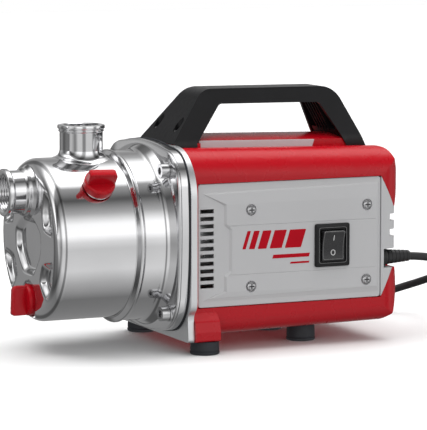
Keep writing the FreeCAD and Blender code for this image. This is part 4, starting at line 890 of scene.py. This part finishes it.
def switch():
    """The bezel, the rocker, its generic marks and the two lighter lines round them, which are painted
    highlights on their edges.
    """
    centre = middle("switch_frame")
    half_w = span("switch_frame", 0)[1] / 2
    half_h = span("switch_frame", 2)[1] / 2

    def corners(wide, tall, radius, steps):
        """A rounded rectangle round the switch's centre."""
        x0, x1, z0, z1 = centre.x - wide, centre.x + wide, centre.z - tall, centre.z + tall
        return rounded([(x0, z0), (x1, z0), (x1, z1), (x0, z1)], [radius] * 4, steps)

    def bezel_rings(stack):
        """One ring of points for each inset from the bezel's edge, corner radius and y."""
        return [[at(x, y, z) for x, z in corners(half_w - inset, half_h - inset, radius, 4)]
                for inset, radius, y in stack]
    bezel = [(0, 1.6, -FIELD_Y), (0, 1.6, -74.8), (0.25, 1.5, -75.3), (0.9, 1.4, SWITCH_FACE_Y),
             (3.6, 1.6, SWITCH_FACE_Y), (3.9, 1.4, -75.3), (4.1, 1.4, -74.3), (5.2, 1.2, -74.3),
             (5.4, 1.2, -74.0), (5.5, 1.2, -66.0), (3.4, 1.2, -66.0), (3.4, 1.2, -FIELD_Y)]
    bm = bmesh.new()
    add_rings(bm, bezel_rings(bezel), closed=True)
    add_rings(bm, bezel_rings([(5.4, 1.2, -66.2), (3.4, 1.2, -66.0), (3.4, 1.2, -53.0), (4.4, 1.2, -51.6)]))
    piece("switch_bezel", bm, "black_plastic", stands_for=["switch_frame"])

    rocker = refined("switch_rocker", "black_gloss", 0.6, segments=3)
    rocker.name = "rocker_key"
    key = surface_of("switch_rocker")

    def add_stroke(bm, points, width, closed):
        """A flat raised stroke along points on the rocker's face."""
        half = width / 2
        loops = [[], [], [], []]
        count = len(points)
        for k, (x, z) in enumerate(points):
            if closed:
                run = Vector(points[(k + 1) % count]) - Vector(points[k - 1])
            else:
                run = Vector(points[-1]) - Vector(points[0])
            side = Vector((-run.y, run.x)).normalized() * half
            for loop, sign, lift in ((0, 1, -0.2), (1, 1, 0.12), (2, -1, 0.12), (3, -1, -0.2)):
                place, normal = key.ray_cast(at(x + side.x * sign, -120, z + side.y * sign), Y_DIR)[:2]
                loops[loop].append(place + normal * lift * MM)
        add_rings(bm, list(zip(*loops)), closed=closed)
    bm = bmesh.new()
    add_stroke(bm, [(centre.x, 96.8), (centre.x, 92.2)], 0.7, False)
    turns = [k * math.pi / 12 for k in range(24)]
    loop = [(centre.x + 1.9 * math.cos(turn), 81.6 + 2.3 * math.sin(turn)) for turn in turns]
    add_stroke(bm, loop, 0.65, True)
    piece("rocker_marks", bm, "grey_plastic", body="rocker", finish="white_print")
    # The bezel's raised inner rim is painted lighter grey: a painted highlight where it catches the light.
    rim_foot, rim_top = SWITCH_FACE_Y + 0.2, SWITCH_FACE_Y - 0.12
    bm = bmesh.new()
    add_rings(bm, bezel_rings([(3.1, 2.0, rim_foot), (3.1, 2.0, rim_top), (3.55, 1.8, rim_top),
                               (3.55, 1.8, rim_foot)]), closed=True)
    piece("bezel_rim", bm, "black_plastic", finish="painted_edge_highlight")
    # The rocker's moulded edge is drawn as a lighter grey line: a painted highlight along the edge.
    edge = corners(9.6, 12.2, 1.2, 3)
    dense = []
    for k, (x, z) in enumerate(edge):
        nx, nz = edge[(k + 1) % len(edge)]
        runs = max(1, int(math.hypot(nx - x, nz - z) / 1.5))
        dense += [(x + (nx - x) * i / runs, z + (nz - z) * i / runs) for i in range(runs)]
    bm = bmesh.new()
    add_stroke(bm, dense, 0.5, True)
    piece("rocker_outline", bm, "grey_plastic", body="rocker", finish="painted_edge_highlight")


# ---------------------------------------------------------------- cord gland, plug and feet
def gland():
    """A strain relief: a grooved collar and a ribbed sleeve that tapers to the cord."""
    centre = middle("cord_gland")
    start, length = span("cord_gland", 0)
    profile = [(0, 3.6), (0, 7.0), (2.3, 7.0), (2.3, 6.0), (4.7, 6.0), (4.7, 8.0), (9.2, 8.0), (10.2, 7.4)]
    ribs = 6
    pitch = (length - 11.5) / ribs
    for k in range(ribs):
        x = 10.6 + pitch * k
        r = 6.6 - 1.9 * k / ribs
        profile += [(x, r - 0.5), (x + 0.25 * pitch, r - 0.5), (x + 0.4 * pitch, r),
                    (x + 0.95 * pitch, r - 0.1)]
    profile += [(length - 0.7, 4.5), (length, 4.1), (length, 3.6)]
    bm = bmesh.new()
    add_lathe(bm, profile, at(start, centre.y, centre.z), X_DIR, steps=64)
    piece("gland_sleeve", bm, "cord_rubber", stands_for=["cord_gland"])


def plug():
    """A straight rubber plug with a grooved tail and a ribbed waist."""
    centre = middle("mains_plug")
    start, length = span("mains_plug", 0)
    body_r = span("mains_plug", 2)[1] / 2
    profile = rounded([(0, 3.6), (0, 5.4), (13, 7.0), (19, 13.2), (33, 14.0), (36, body_r), (length, body_r),
                       (length, body_r - 2), (length - 1.2, body_r - 3), (length - 1.2, 0)],
                      [0, 1.0, 5.0, 5.0, 2.0, 1.2, 1.2, 0.3, 0.3, 0], steps=4, closed=False)
    fine = []
    for (a, ra), (b, rb) in zip(profile, profile[1:]):
        runs = max(1, int(abs(b - a) / 1.2))
        fine += [(a + (b - a) * i / runs, ra + (rb - ra) * i / runs) for i in range(runs)]
    fine.append(profile[-1])

    def grip(along, radius, turn):
        """Ring grooves on the tail, and finger ribs round the waist."""
        if 1.5 < along < 12.5:
            return radius - 0.5 * max(0.0, math.sin(2 * math.pi * along / 2.8))
        if 20.0 < along < 33.5:
            return radius - 0.6 * max(0.0, math.sin(2 * math.pi * turn * 18))
        return radius
    bm = bmesh.new()
    add_lathe(bm, fine, at(start, centre.y, centre.z), X_DIR, steps=144, radius_at=grip)
    piece("plug_moulding", bm, "cord_rubber", stands_for=["mains_plug"])


def feet():
    """Rubber feet with a grip ring moulded round the bottom."""
    for node in ("front_feet", "rear_feet"):
        low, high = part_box(node)
        height = (high[2] - low[2]) / MM
        bottom_r = (high[0] - low[0]) / 2 / MM
        centre_y = (high[1] / MM) - bottom_r
        source = surface_of(node)
        x = middle(node).x
        bm = bmesh.new()
        for side in (-1, 1):
            place = at(x, side * centre_y, height - 0.05)
            spot = source.ray_cast(place + X_DIR * 0.05 - Z_DIR * 0.0003, -X_DIR)[0]
            top_r = (spot - place).xy.length / MM
            slope = (bottom_r - top_r) / height
            sides = [(0, 0), (0, bottom_r - 1.0), (0.5, bottom_r - 0.3), (1.2, bottom_r), (2.4, bottom_r),
                     (2.9, bottom_r - 0.6), (3.3, bottom_r - 0.6), (3.8, bottom_r - slope * 3.8 - 0.05),
                     (height - 0.6, top_r + 0.02), (height - 0.05, top_r - 0.5), (height - 0.05, 0)]
            add_lathe(bm, sides, at(x, side * centre_y, 0), Z_DIR, steps=64)
        piece(node + "_rubber", bm, "black_rubber", stands_for=[node])


# ---------------------------------------------------------------- scene
add_camera()
add_world()
FLOOR_HALF = 6.0
floor_mesh = bpy.data.meshes.new("floor")
floor_mesh.from_pydata([(x * FLOOR_HALF, y * FLOOR_HALF, 0) for x, y in ((-1, -1), (1, -1), (1, 1), (-1, 1))],
                       [], [(0, 1, 2, 3)])
floor = bpy.data.objects.new("floor", floor_mesh)
floor_finish = Finish("floor_paper", (0.93, 0.93, 0.93), 0.9)
floor_finish.vary(3, 0.01).bump(200, 0.02, 0.1)
floor_mesh.materials.append(floor_finish.material)
floor.visible_glossy = False
floor.visible_diffuse = False
bpy.context.scene.collection.objects.link(floor)
bpy.context.scene.view_settings.view_transform = "Standard"
add_light("key", (-1.3, -2.2, 2.0), (0, 0, 0.1), 1.2, 0.9, 4)
add_light("fill", (2.2, -1.8, 1.0), (0, 0, 0.1), 1.2, 1.2, 2)
add_sun(1.9)

gland()
plug()
refined("cord_tie", "cord_rubber", 0.4)
refined("plug_pins", "nickel_pins", 0.3)
mains_cord()
casing()
ports()
wing_plug("fill_knob_wing", "fill_plug", "fill_knob",
          at(middle("fill_boss").x, 0, AXIS_Z) + FILL_DIR * FILL_FACE_R * MM, FILL_DIR, X_DIR)
wing_plug("drain_knob_wing", "drain_plug", "drain_knob",
          at(DRAIN_FACE_X, 0, middle("drain_boss").z), -X_DIR, Z_DIR)
side_panel("panel_right", "side_panel_right", -1, True)
side_panel("panel_left", "side_panel_left", 1, False)
screw_heads("screw_heads_right", "panel_screws_right", -1)
screw_heads("screw_heads_left", "panel_screws_left", 1)
graphic()
switch()
feet()
for node, slot, width in (("hood", "red_plastic", 0.7), ("tray", "red_plastic", 0.7),
                          ("rear_grille", "grey_plastic", 0.5), ("handle", "black_plastic", 1.0),
                          ("motor_bracket", "cast_aluminium", 0.5),
                          ("clamp_flange", "polished_steel", 0.5), ("casing_gasket", "black_rubber", 0.25),
                          ("flange_screws", "zinc_screws", 0.25), ("top_trims", "grey_plastic", 0.4)):
    refined(node, slot, width)
